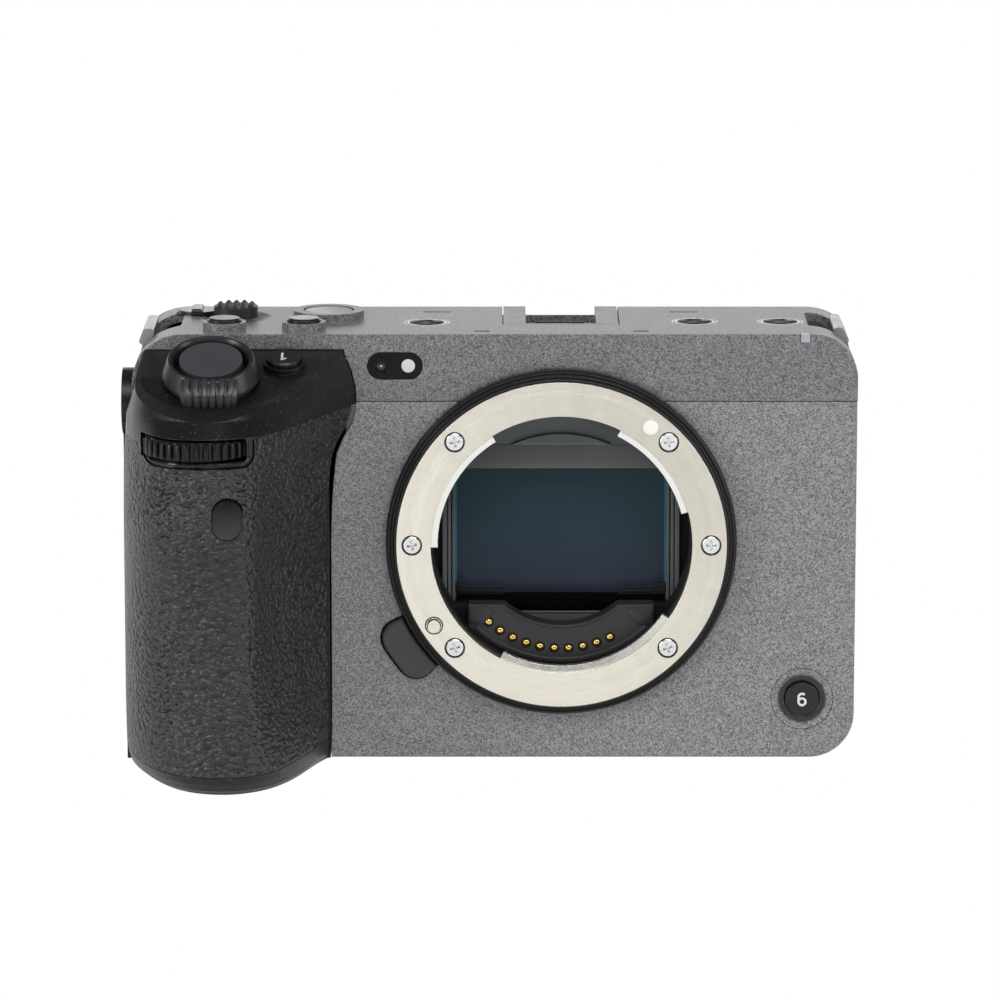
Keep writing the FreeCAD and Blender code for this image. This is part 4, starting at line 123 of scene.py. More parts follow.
class Graph:
    """The node tree of one material."""

    def __init__(self, name: str) -> None:
        """Starts a material with a Principled shader and its output.

        Args:
            name: The material's name.
        """
        self.material = bpy.data.materials.new(name)
        self.material.use_nodes = True
        self.tree = self.material.node_tree
        self.tree.nodes.clear()
        self.shader = self.tree.nodes.new("ShaderNodeBsdfPrincipled")
        self.output = self.tree.nodes.new("ShaderNodeOutputMaterial")
        self.tree.links.new(self.shader.outputs[0], self.output.inputs[0])

    def add(self, kind: str, settings: Mapping[str, Any], inputs: Mapping[Any, Any],
            output: Any = 0) -> Field:
        """Adds a node of any kind.

        Args:
            kind: The node's type.
            settings: Properties of the node, set first.
            inputs: Values or fields for its sockets, by name or index.
            output: The output that the result wraps, by name or index.

        Returns:
            The chosen output as a field.
        """
        node = self.tree.nodes.new(kind)
        for key, value in settings.items():
            setattr(node, key, value)
        for key, value in inputs.items():
            self.feed(node.inputs[key], value)
        return Field(self, node.outputs[output])

    def feed(self, socket: bpy.types.NodeSocket, value: Any) -> None:
        """Gives a socket a value or a link.

        Args:
            socket: The socket.
            value: A plain value for it, or a field to link.
        """
        if isinstance(value, Field):
            self.tree.links.new(value.socket, socket)
        else:
            socket.default_value = value

    def place(self) -> Field:
        """Object coordinates, in metres."""
        return self.add("ShaderNodeTexCoord", {}, {}, "Object")

    def axis(self, name: str) -> Field:
        """One of the X, Y and Z coordinates, in metres."""
        return self.add("ShaderNodeSeparateXYZ", {}, {0: self.place()}, name)

    def noise(self, size: float, detail: float = 2.0, where: Any = None, rough: float = 0.55) -> Field:
        """Cloudy noise with features of a size in millimetres."""
        inputs = {"Vector": where or self.place(), "Scale": 1.0 / (size * MILLIMETRE), "Detail": detail,
                  "Roughness": rough}
        return self.add("ShaderNodeTexNoise", {}, inputs)

    def cells(self, size: float, output: str = "Distance", feature: str = "F1", where: Any = None) -> Field:
        """Voronoi cells of a size in millimetres."""
        inputs = {"Vector": where or self.place(), "Scale": 1.0 / (size * MILLIMETRE)}
        return self.add("ShaderNodeTexVoronoi", {"feature": feature}, inputs, output)

    def ease(self, value: Field, low: float, high: float, rise: float) -> Field:
        """A smooth fall from a rise to nothing while the value goes from low to high."""
        inputs = {0: value, 1: low, 2: high, 3: rise, 4: 0.0}
        return self.add("ShaderNodeMapRange", {"clamp": True, "interpolation_type": "SMOOTHSTEP"}, inputs)

    def blend(self, share: Any, first: Any, second: Any) -> Field:
        """A colour between two others."""
        inputs = {0: share, 6: colour(first), 7: colour(second)}
        return self.add("ShaderNodeMix", {"data_type": "RGBA"}, inputs, 2)

    def bump(self, height: Field, depth: float, strength: float = 1.0, edge: float = 0.0) -> Field:
        """A normal from a height field.

        Args:
            height: The height, from 0 to 1.
            depth: Its full depth in millimetres.
            strength: How strongly it shows.
            edge: Radius in millimetres by which edges are rounded.

        Returns:
            The normal.
        """
        inputs = {"Height": height, "Distance": depth * MILLIMETRE, "Strength": strength}
        if edge:
            inputs["Normal"] = self.soft_edge(edge)
        return self.add("ShaderNodeBump", {}, inputs)

    def soft_edge(self, radius: float) -> Field:
        """A normal that rounds sharp edges by a radius in millimetres."""
        return self.add("ShaderNodeBevel", {"samples": 6}, {"Radius": radius * MILLIMETRE})

    def finish(self, **sockets: Any) -> bpy.types.Material:
        """Feeds the shader's sockets.

        Args:
            sockets: Values or fields by the sockets' names, with underscores for blanks.

        Returns:
            The material.
        """
        for key, value in sockets.items():
            self.feed(self.shader.inputs[key.replace("_", " ")], value)
        return self.material


def colour(value: Any) -> Any:
    """A colour with its alpha, or the field as it is."""
    return value if isinstance(value, Field) else (*value, 1.0)


def toned(base: Colour, share: float) -> Colour:
    """A colour made lighter or darker by a share."""
    return tuple(part * share for part in base)


# Finishes


@dataclass(frozen=True)
class SparklePaint:
    """Dark metallic paint with fine light and dark flakes under a satin top."""

    name: str
    base: Colour
    flake: float = 0.2
    cloud: float = 0.2
    flake_share: float = 0.7
    painted_up_light: Colour = (1.24, 1.28, 1.36)
    contrast: float = 0.52
    lift: float = 1.25
    roughness: float = 0.44
    metallic: float = 0.35
    edge: float = 0.25

    def make(self) -> bpy.types.Material:
        """Builds the material, with painted light: cooler and lighter where it looks up, as if lit from
        above.

        Returns:
            The material.
        """
        g = Graph(self.name)
        flakes = g.add("ShaderNodeSeparateColor", {}, {0: g.cells(self.flake, "Color")}, 0)
        clouds = g.noise(self.cloud)
        grain = (flakes * self.flake_share + clouds * (1.0 - self.flake_share)).spread(0.2, 0.8)
        dark, light = toned(self.base, 1 - self.contrast), toned(self.base, 1 + self.lift * self.contrast)
        # Painted light: faces that look up get a cooler, lighter copy of the paint, for the light that falls
        # from above.
        painted_up_tones = [tuple(a * b for a, b in zip(tone, self.painted_up_light)) for tone in (dark, light)]
        up = g.add("ShaderNodeSeparateXYZ", {}, {0: g.add("ShaderNodeNewGeometry", {}, {}, "Normal")}, "Z")
        shade = g.blend(up.spread(0.6, 0.95), g.blend(grain, dark, light), g.blend(grain, *painted_up_tones))
        rough = flakes.spread(0.0, 1.0, self.roughness - 0.1, self.roughness + 0.12)
        return g.finish(Base_Color=shade, Metallic=self.metallic, Roughness=rough,
                        Normal=g.bump(clouds, 0.02, 0.35, self.edge))


@dataclass(frozen=True)
class Moulded:
    """Moulded plastic or rubber with a fine sand grain and, where asked, painted glint specks."""

    name: str
    base: Colour
    roughness: float = 0.5
    grain: float = 0.16
    depth: float = 0.02
    edge: float = 0.2
    specular: float = 0.4
    mottle: float = 0.15
    specks: float = 0.0
    speck: Colour = (0.2, 0.2, 0.2)
    speck_size: float = 0.15
    wear: float = 9.0

    def make(self) -> bpy.types.Material:
        """Builds the material.

        Returns:
            The material.
        """
        g = Graph(self.name)
        wear = g.noise(self.wear, 3.0)
        high: Any = toned(self.base, 1 + self.mottle)
        if self.specks:
            # Painted highlights: rare light grey specks stand in for the sparkle of glints on the grain.
            glint_specks = g.add("ShaderNodeSeparateColor", {}, {0: g.cells(self.speck_size, "Color")}, 0)
            high = g.blend(glint_specks > 1.0 - self.specks, high, self.speck)
        rough = wear.spread(0.3, 0.7, self.roughness - 0.05, self.roughness + 0.05)
        return g.finish(Base_Color=g.blend(wear, toned(self.base, 1 - self.mottle), high), Roughness=rough,
                        Specular_IOR_Level=self.specular,
                        Normal=g.bump(g.noise(self.grain), self.depth, 0.6, self.edge))


@dataclass(frozen=True)
class Leather:
    """Black rubber with a creased leather grain, swelling and hollowed by bands of height."""

    name: str
    base: Colour
    crease: float = 0.8
    depth: float = 0.85
    pore: float = 0.35
    swells: tuple[tuple[float, float, float], ...] = ((47.0, 58.0, 2.6), (33.0, 47.0, -2.9), (2.0, 33.0, 4.0))
    stretch: tuple[float, float, float] = (0.75, 0.75, 1.2)
    sway: float = 420.0
    sway_reach: float = 0.0009

    def make(self) -> bpy.types.Material:
        """Builds the material.

        Returns:
            The material.
        """
        g = Graph(self.name)
        sway = g.add("ShaderNodeTexNoise", {}, {"Vector": g.place(), "Scale": self.sway, "Detail": 2.0}, 1)
        drift = g.add("ShaderNodeVectorMath", {"operation": "SCALE"}, {0: sway, "Scale": self.sway_reach})
        loose = g.add("ShaderNodeVectorMath", {"operation": "ADD"}, {0: g.place(), 1: drift})
        where = g.add("ShaderNodeVectorMath", {"operation": "MULTIPLY"}, {0: loose, 1: self.stretch})
        domes = 1.0 - g.cells(self.crease, "Distance", "SMOOTH_F1", where)
        folds = g.noise(self.crease * 0.8, 1.5, where)
        height = domes * 0.8 + folds * 0.4 + g.noise(self.pore, 3.0) * 0.05
        swell = height * self.depth
        level = g.axis("Z") * (1.0 / MILLIMETRE)
        for low, high, rise in self.swells:
            swell = swell + g.ease(level, low, high, rise)
        # Painted light and shade: the grain's crests are painted lighter and its creases darker, standing in
        # for light on the bumps.
        shade = g.blend(height.spread(0.5, 0.85), toned(self.base, 0.05), toned(self.base, 1.3))
        return g.finish(Base_Color=shade, Roughness=folds.spread(0.3, 0.7, 0.42, 0.3),
                        Specular_IOR_Level=0.58, Normal=g.bump(swell, 1.0))


@dataclass(frozen=True)
class TurnedMetal:
    """Satin metal with fine concentric lathe marks about an axis that runs front to back."""

    name: str
    base: Colour
    centre: Point2
    roughness: float = 0.3
    marks: float = 0.12
    depth: float = 0.012
    edge: float = 0.12
    broad: float = 1.4
    wind: float = 0.0008
    drift: float = 0.085
    tone: float = 0.93
    glint_streak: float = 0.16
    glint_streak_size: float = 0.5
    glint_streak_turn: float = 0.004
    glint_streak_reach: float = 0.02

    def make(self) -> bpy.types.Material:
        """Builds the material, with painted light: lighter towards the lower left as the light falls, and
        painted glint streaks.

        Returns:
            The material.
        """
        g = Graph(self.name)
        across = g.axis("X") - self.centre[0] * MILLIMETRE
        up = g.axis("Z") - self.centre[1] * MILLIMETRE
        radius = (across * across + up * up) ** 0.5
        turn = g.add("ShaderNodeMath", {"operation": "ARCTAN2"}, {0: up, 1: across})
        line = g.add("ShaderNodeCombineXYZ", {}, {0: radius, 1: turn * self.wind, 2: 0.0})
        marks = g.noise(self.marks, 3.0, line, 0.6)
        # Painted highlights: bright and dark streaks along the radius stand in for the glints of light on
        # turned metal.
        around, out = turn * self.glint_streak_turn, radius * self.glint_streak_reach
        glint_rays = g.add("ShaderNodeCombineXYZ", {}, {0: around, 1: out, 2: 0.0})
        painted_glint_streaks = (g.noise(self.glint_streak_size, 2.0, glint_rays) - 0.5) * self.glint_streak
        # Painted light: lighter towards the lower left and darker towards the upper right, plus the painted
        # glint streaks.
        tone = self.tone - (across + up) * self.drift / radius + painted_glint_streaks
        worn = g.blend(marks.spread(0.25, 0.75), toned(self.base, 0.82), self.base)
        broad = g.noise(self.broad, 2.0, line)
        rough = broad.spread(0.3, 0.7, self.roughness - 0.06, self.roughness + 0.08)
        return g.finish(Base_Color=g.blend(tone, (0.0, 0.0, 0.0), worn), Metallic=1.0, Roughness=rough,
                        Normal=g.bump(marks, self.depth, 0.8, self.edge))


@dataclass(frozen=True)
class Metal:
    """Plain metal with slight colour and roughness variation."""

    name: str
    base: Colour
    roughness: float = 0.3
    edge: float = 0.1
    grain: float = 0.2
    depth: float = 0.006
    spot: float = 1.5

    def make(self) -> bpy.types.Material:
        """Builds the material.

        Returns:
            The material.
        """
        g = Graph(self.name)
        spots = g.noise(self.spot, 3.0)
        rough = spots.spread(0.3, 0.7, self.roughness - 0.05, self.roughness + 0.08)
        shade = g.blend(spots, toned(self.base, 0.85), self.base)
        return g.finish(Base_Color=shade, Metallic=1.0, Roughness=rough,
                        Normal=g.bump(g.noise(self.grain), self.depth, 0.5, self.edge))


@dataclass(frozen=True)
class FilterGlass:
    """The sensor's coated filter glass: deep teal above, violet towards its foot, with painted glints at its
    sides.
    """

    name: str
    top: Colour
    foot: Colour
    span: Point2 = (26.0, 51.0)
    rim: Point2 = (18.45, 18.6)
    glint: Colour = (0.05, 0.19, 0.27)
    sheen: float = 16.0

    def make(self) -> bpy.types.Material:
        """Builds the material.

        Returns:
            The material.
        """
        g = Graph(self.name)
        height = g.axis("Z").spread(self.span[0] * MILLIMETRE, self.span[1] * MILLIMETRE)
        sheen = g.noise(self.sheen, 1.0)
        glass = g.blend((height * 0.85 + sheen * 0.25).spread(0.1, 0.75), self.foot, self.top)
        out = g.add("ShaderNodeMath", {"operation": "ABSOLUTE"}, {0: g.axis("X")})
        # Painted highlight: towards the sides, past the rim span, the colour turns to a bright cyan glint.
        shade = g.blend(out.spread(self.rim[0] * MILLIMETRE, self.rim[1] * MILLIMETRE), glass, self.glint)
        return g.finish(Base_Color=shade, Roughness=sheen.spread(0.3, 0.7, 0.14, 0.2), Specular_IOR_Level=0.1)


@dataclass(frozen=True)
class Gloss:
    """Polished lacquer or window plastic, greyer below a band of heights where it has one."""

    name: str
    base: Colour
    roughness: float = 0.12
    specular: float = 0.5
    edge: float = 0.1
    greying_band: Point2 = (0.0, 0.0)
    lower_grey: Colour = (0.045, 0.047, 0.05)
    haze: float = 4.0

    def make(self) -> bpy.types.Material:
        """Builds the material.

        Returns:
            The material.
        """
        g = Graph(self.name)
        haze = g.noise(self.haze, 3.0)
        shade = g.blend(haze, toned(self.base, 0.8), toned(self.base, 1.2))
        if any(self.greying_band):
            low, high = (c * MILLIMETRE for c in self.greying_band)
            shade = g.blend(g.axis("Z").spread(low, high), self.lower_grey, shade)
        rough = haze.spread(0.3, 0.7, self.roughness * 0.8, self.roughness * 1.3)
        return g.finish(Base_Color=shade, Roughness=rough, Specular_IOR_Level=self.specular,
                        Normal=g.soft_edge(self.edge))


@dataclass(frozen=True)
class Board:
    """A green circuit board whose sockets, past a plane across it, are black."""

    name: str
    green: Colour
    black: Colour
    sockets_from: float
    track: float = 1.4
    edge: float = 0.15

    def make(self) -> bpy.types.Material:
        """Builds the material.

        Returns:
            The material.
        """
        g = Graph(self.name)
        tracks = g.cells(self.track, "Distance", "DISTANCE_TO_EDGE").spread(0.0, 0.12)
        green = g.blend(tracks, toned(self.green, 0.6), self.green)
        shade = g.blend(g.axis("X") > self.sockets_from * MILLIMETRE, green, self.black)
        rough = g.noise(1.2).spread(0.3, 0.7, 0.38, 0.5)
        return g.finish(Base_Color=shade, Roughness=rough, Normal=g.soft_edge(self.edge))


LENS_AXIS: Point2 = (0.0, 39.4)
SOCKETS_FROM = 40.0


class Skin(Enum):
    """Every finish of the camera."""

    FRONT_PAINT = SparklePaint("front_paint", (0.215, 0.216, 0.214))
    TOP_PAINT = SparklePaint("top_paint", (0.168, 0.169, 0.169))
    SIDE_PAINT = SparklePaint("side_paint", (0.2, 0.2, 0.198))
    REAR_PLASTIC = Moulded("rear_plastic", (0.022, 0.022, 0.024), 0.5, specks=0.006)
    GRIP_PLASTIC = Moulded("grip_plastic", (0.0035, 0.0045, 0.006), 0.32, 0.2, 0.07, specular=0.42,
                           specks=0.01)
    RELEASE = Moulded("release_plastic", (0.048, 0.05, 0.051), 0.36, 0.16, 0.01)
    LEATHER = Leather("grip_leather", (0.015, 0.016, 0.018))
    BUTTON = Moulded("button_plastic", (0.011, 0.011, 0.012), 0.32, 0.12, 0.004)
    SHUTTER = Moulded("shutter_cap", (0.05, 0.053, 0.06), 0.42, 0.12, 0.004)
    DIAL = Moulded("dial_plastic", (0.004, 0.004, 0.0045), 0.28, 0.1, 0.003, specular=0.33)
    TAB = Moulded("lever_tab", (0.03, 0.031, 0.033), 0.36, 0.12, 0.006, specular=0.5)
    LEVER = Moulded("lever_plastic", (0.015, 0.015, 0.016), 0.33, 0.12, 0.006, specular=0.5)
    RUBBER = Moulded("door_rubber", (0.026, 0.026, 0.027), 0.58, 0.22, 0.025)
    STICK = Moulded("stick_rubber", (0.018, 0.018, 0.019), 0.5, 0.15, 0.01)
    MATT_BLACK = Moulded("chamber_black", (0.008, 0.008, 0.0085), 0.55, 0.15, 0.01, specular=0.25)
    # Painted light: the chamber's steps are one dark satin, given three greys by how brightly each is lit.
    DARK_BAFFLE = Moulded("baffle_dark", (0.11, 0.118, 0.12), 0.45, 0.15, 0.006, specular=0.3)
    GREY_BAFFLE = Moulded("baffle_grey", (0.135, 0.142, 0.142), 0.5, 0.15, 0.006, specular=0.3)
    ARCH = Moulded("baffle_arch", (0.165, 0.185, 0.19), 0.42, 0.15, 0.006, specular=0.3)
    CONTACT_PLASTIC = Moulded("contact_plastic", (0.028, 0.028, 0.029), 0.38, 0.15, 0.006)
    MOUNT = TurnedMetal("mount_metal", (0.985, 0.94, 0.82), LENS_AXIS)
    STEEL = Metal("steel", (0.62, 0.61, 0.59), 0.3)
    # Painted light: a lighter copy of the mount's metal for the lug faces, as if they catch more light.
    LUG = Metal("lit_lug_metal", (0.97, 0.96, 0.93), 0.24, 0.03, 0.2, 0.001)
    BRIGHT = Metal("bright_screw", (0.86, 0.86, 0.86), 0.2)
    SCREW_BLACK = Metal("black_screw", (0.06, 0.06, 0.062), 0.34)
    INSERT = Metal("insert_rim", (0.27, 0.26, 0.225), 0.36)
    THREAD = Metal("insert_thread", (0.2, 0.195, 0.18), 0.35)
    SHOE = Metal("shoe_metal", (0.24, 0.243, 0.255), 0.42)
    SHOE_PLATE = Metal("shoe_plate", (0.07, 0.071, 0.076), 0.45)
    STRAP = Metal("strap_metal", (0.42, 0.41, 0.39), 0.38)
    GOLD = Metal("contact_gold", (0.95, 0.66, 0.18), 0.18, 0.04)
    CAST = Metal("cast_metal", (0.4, 0.4, 0.41), 0.5, 0.3, 0.4, 0.03)
    HEAT = Metal("heat_metal", (0.6, 0.6, 0.6), 0.45)
    TRIM = Gloss("gloss_black", (0.012, 0.012, 0.013), 0.16, 0.4)
    WINDOW = Gloss("window_dark", (0.003, 0.003, 0.004), 0.3, 0.2, greying_band=(45.5, 52.0))
    GAP = Moulded("gap_black", (0.001, 0.001, 0.001), 0.7, specular=0.05)
    LENS = Gloss("lamp_lens", (0.028, 0.024, 0.012), 0.05, 0.6)
    SCREEN = Gloss("screen_glass", (0.007, 0.007, 0.009), 0.06, 0.5)
    PANEL = Gloss("screen_panel", (0.016, 0.018, 0.022), 0.05, 0.5)
    SENSOR = FilterGlass("sensor_coating", (0.026, 0.057, 0.075), (0.038, 0.041, 0.066))
    WHITE = Moulded("white_enamel", (0.6, 0.595, 0.575), 0.35, 0.3, 0.002)
    INDEX = Moulded("index_white", (0.84, 0.83, 0.79), 0.35, 0.3, 0.002)
    FIGURE = Moulded("figure_white", (0.7, 0.7, 0.7), 0.5, 0.3, 0.001)
    LAMP = Gloss("lamp_clear", (0.34, 0.36, 0.4), 0.3, 0.5)
    BOARD = Board("board_green", (0.02, 0.09, 0.05), (0.014, 0.014, 0.015), SOCKETS_FROM)
    BATTERY = Moulded("battery_grey", (0.05, 0.05, 0.055), 0.5)
    BLADE = Moulded("blade_dark", (0.03, 0.03, 0.03), 0.45, 0.3, 0.003)


class Wardrobe:
    """Makes each finish once and hands it out."""

    def __init__(self) -> None:
        """Starts empty."""
        self.made: dict[Skin, bpy.types.Material] = {}

    def get(self, skin: Skin) -> bpy.types.Material:
        """Gives the material of a finish, made when it is first asked for.

        Args:
            skin: The finish.

        Returns:
            Its material.
        """
        if skin not in self.made:
            self.made[skin] = skin.value.make()
        return self.made[skin]


# Building pieces


class Facing(Enum):
    """Which way a seat's own Z looks; its X runs right and its Y up for someone who faces it."""

    FRONT = ((1, 0, 0), (0, 0, 1), (0, -1, 0))
    BACK = ((-1, 0, 0), (0, 0, 1), (0, 1, 0))
    RIGHT = ((0, 1, 0), (0, 0, 1), (1, 0, 0))
    LEFT = ((0, -1, 0), (0, 0, 1), (-1, 0, 0))
    TOP = ((1, 0, 0), (0, 1, 0), (0, 0, 1))
    BASE = ((1, 0, 0), (0, -1, 0), (0, 0, -1))

    def seat(self, x: float, y: float, z: float, tip: float = 0.0, turn: float = 0.0) -> Matrix:
        """A seat at a point of the camera's own frame.

        Args:
            x: The point's X in millimetres.
            y: Its Y.
            z: Its Z.
            tip: Degrees by which the seat leans about its own X.
            turn: Degrees by which it then turns about its own Z.

        Returns:
            The seat as a matrix.
        """
        look = Matrix(self.value).transposed().to_4x4()
        lean = Matrix.Rotation(math.radians(tip), 4, "X") @ Matrix.Rotation(math.radians(turn), 4, "Z")
        return Matrix.Translation((x, y, z)) @ look @ lean


def shifted(seat: Matrix, x: float, y: float, z: float = 0.0, turn: float = 0.0) -> Matrix:
    """A seat moved in its own plane and turned about its own Z by degrees."""
    return seat @ Matrix.Translation((x, y, z)) @ Matrix.Rotation(math.radians(turn), 4, "Z")


def polar(radius: float, degrees: float) -> Point2:
    """A point at an angle round a seat's own Z."""
    return radius * math.cos(math.radians(degrees)), radius * math.sin(math.radians(degrees))


def only_points(geometry: Sequence[Any]) -> list[bmesh.types.BMVert]:
    """The points among an operator's results."""
    return [item for item in geometry if isinstance(item, bmesh.types.BMVert)]


def thicken(part: bmesh.types.BMesh, height: float) -> None:
    """Gives every face of a flat sheet a thickness upwards."""
    lifted = bmesh.ops.extrude_face_region(part, geom=list(part.faces))["geom"]
    bmesh.ops.translate(part, vec=(0, 0, height), verts=only_points(lifted))


class Form:
    """A visible piece put together from closed parts, in millimetres."""

    SHARP = math.radians(32.0)
    WELD = 1e-4
    BEAD_SIDES = 10

    def __init__(self, name: str, wardrobe: Wardrobe) -> None:
        """Starts an empty piece.

        Args:
            name: Its name.
            wardrobe: The finishes.
        """
        self.name = name
        self.wardrobe = wardrobe
        self.mesh = bmesh.new()
        self.skins: list[Skin] = []

    def take(self, part: bmesh.types.BMesh, skin: Skin, seat: Matrix, round_by: float = 0.0) -> None:
        """Rounds a part's sharp edges and adds it.

        Args:
            part: A closed mesh in the seat's own frame, freed here.
            skin: Its finish.
            seat: Where it goes.
            round_by: Radius of its sharp edges.
        """
        bmesh.ops.recalc_face_normals(part, faces=part.faces)
        if round_by:
            sharp = [e for e in part.edges if e.is_manifold and e.calc_face_angle(0.0) > self.SHARP]
            bmesh.ops.bevel(part, geom=sharp, offset=round_by, segments=2, profile=0.5, affect="EDGES",
                            clamp_overlap=True, material=-1)
        part.transform(seat)
        if skin not in self.skins:
            self.skins.append(skin)
        for face in part.faces:
            face.smooth = True
            face.material_index = self.skins.index(skin)
        for edge in part.edges:
            edge.smooth = edge.calc_face_angle(0.0) < self.SHARP
        data = bpy.data.meshes.new("part")
        part.to_mesh(data)
        part.free()
        self.mesh.from_mesh(data)
        bpy.data.meshes.remove(data)

    def turned(self, profile: Sequence[Point2], skin: Skin, seat: Matrix, steps: int = 40,
               round_by: float = 0.0) -> None:
        """Adds a part turned about the seat's Z.

        Args:
            profile: Its (radius, height) points, closed on the axis or on itself.
            skin: Its finish.
            seat: Where it goes.
            steps: Facets round it.
            round_by: Radius of its edges.
        """
        part = bmesh.new()
        points = [part.verts.new((radius, 0.0, height)) for radius, height in profile]
        edges = [part.edges.new(pair) for pair in zip(points, points[1:])]
        bmesh.ops.spin(part, geom=points + edges, axis=(0, 0, 1), cent=(0, 0, 0), angle=math.tau,
                       steps=steps, use_merge=True)
        bmesh.ops.remove_doubles(part, verts=part.verts, dist=self.WELD)
        self.take(part, skin, seat, round_by)

    def hoop(self, radii: Point2, heights: Point2, skin: Skin, seat: Matrix, steps: int) -> None:
        """Adds a ring of oblong section.

        Args:
            radii: Its inner and outer radius.
            heights: Its foot and its top over the seat.
            skin: Its finish.
            seat: Where it goes.
            steps: Facets round it.
        """
        (inner, outer), (low, high) = radii, heights
        corners_in_turn = ((inner, low), (outer, low), (outer, high), (inner, high), (inner, low))
        self.turned(corners_in_turn, skin, seat, steps)

    def sector(self, section: Sequence[Point2], span: Point2, skin: Skin, seat: Matrix, steps: int = 24,
               round_by: float = 0.0) -> None:
        """Adds a part whose section is swept round the seat's Z.

        Args:
            section: Its (radius, height) corners.
            span: The first and the last angle in degrees.
            skin: Its finish.
            seat: Where it goes.
            steps: Facets along the sweep.
            round_by: Radius of its edges.
        """
        part = bmesh.new()
        face = part.faces.new([part.verts.new((radius, 0.0, height)) for radius, height in section])
        bmesh.ops.rotate(part, verts=part.verts, matrix=Matrix.Rotation(math.radians(span[0]), 3, "Z"))
        bmesh.ops.spin(part, geom=[face, *face.edges, *face.verts], axis=(0, 0, 1), cent=(0, 0, 0),
                       angle=math.radians(span[1] - span[0]), steps=steps)
        self.take(part, skin, seat, round_by)

    def plate(self, outline: Sequence[Point2], low: float, high: float, skin: Skin, seat: Matrix,
              round_by: float = 0.0) -> None:
        """Adds a flat part of any outline.

        Args:
            outline: Its corners.
            low: Height of its foot over the seat.
            high: Height of its top.
            skin: Its finish.
            seat: Where it goes.
            round_by: Radius of its edges.
        """
        part = bmesh.new()
        part.faces.new([part.verts.new((x, y, low)) for x, y in outline])
        thicken(part, high - low)
        self.take(part, skin, seat, round_by)

    def pad(self, size: Point2, corner: float, low: float, high: float, skin: Skin, seat: Matrix,
            round_by: float = 0.0, wall: float = 0.0) -> None:
        """Adds a rounded oblong, or with a wall the frame round one.

        Args:
            size: Width and height.
            corner: Radius of its corners.
            low: Height of its foot over the seat.
            high: Height of its top.
            skin: Its finish.
            seat: Where it goes.
            round_by: Radius of its edges.
            wall: Width of the frame, or 0 for a solid pad.
        """
        part = bmesh.new()
        bmesh.ops.create_grid(part, x_segments=1, y_segments=1, size=0.5)
        bmesh.ops.scale(part, vec=(size[0], size[1], 1.0), verts=part.verts)
        bmesh.ops.bevel(part, geom=list(part.verts), offset=min(corner, min(size) / 2 - 0.01), segments=8,
                        profile=0.5, affect="VERTICES", material=-1)
        if wall:
            bmesh.ops.inset_region(part, faces=part.faces, thickness=wall)
            middle = max(part.faces, key=lambda face: len(face.verts))
            bmesh.ops.delete(part, geom=[middle], context="FACES")
        bmesh.ops.translate(part, vec=(0, 0, low), verts=part.verts)
        thicken(part, high - low)
        self.take(part, skin, seat, round_by)

    def bead(self, path: Sequence[Vector], radius: float, skin: Skin, closed: bool = False) -> None:
        """Adds a round bead along a path that runs across the view from the front.

        Args:
            path: Its points in the camera's own frame.
            radius: Its radius.
            skin: Its finish.
            closed: Whether its end joins its start.
        """
        part = bmesh.new()
        last = len(path) - 1
        rings = []
        for step, point in enumerate(path):
            before = path[step - 1] if closed or step else point
            after = path[(step + 1) % len(path)] if closed or step < last else point
            along = (after - before).normalized()
            side = along.cross(Vector((0, -1, 0))).normalized()
            look = Matrix((side, side.cross(along), along)).transposed().to_4x4()
            capped = not closed and step in (0, last)
            ring = bmesh.ops.create_circle(part, cap_ends=capped, radius=radius, segments=self.BEAD_SIDES,
                                           matrix=Matrix.Translation(point) @ look)
            rings.append(ring["verts"])
        pairs = list(zip(rings, rings[1:])) + ([(rings[-1], rings[0])] if closed else [])
        for low, high in pairs:
            for step in range(self.BEAD_SIDES):
                after = (step + 1) % self.BEAD_SIDES
                part.faces.new((low[step], low[after], high[after], high[step]))
        self.take(part, skin, Matrix.Identity(4))

    def fit(self, body: str, slot: str, *stands_for: str) -> None:
        """Makes the object and ties it to the frame.

        Args:
            body: The CAD body that it moves with.
            slot: The name of a material slot for its finish; not used.
            stands_for: CAD nodes that it hides.
        """
        self.mesh.transform(Matrix.Scale(MILLIMETRE, 4))
        data = bpy.data.meshes.new(self.name)
        self.mesh.to_mesh(data)
        self.mesh.free()
        for skin in self.skins:
            data.materials.append(self.wardrobe.get(skin))
        piece = bpy.data.objects.new(self.name, data)
        bpy.context.scene.collection.objects.link(piece)
        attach(piece, body)
        if stands_for:
            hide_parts(*stands_for)
        LOG.info("%s: %d faces, on %s", self.name, len(data.polygons), body)


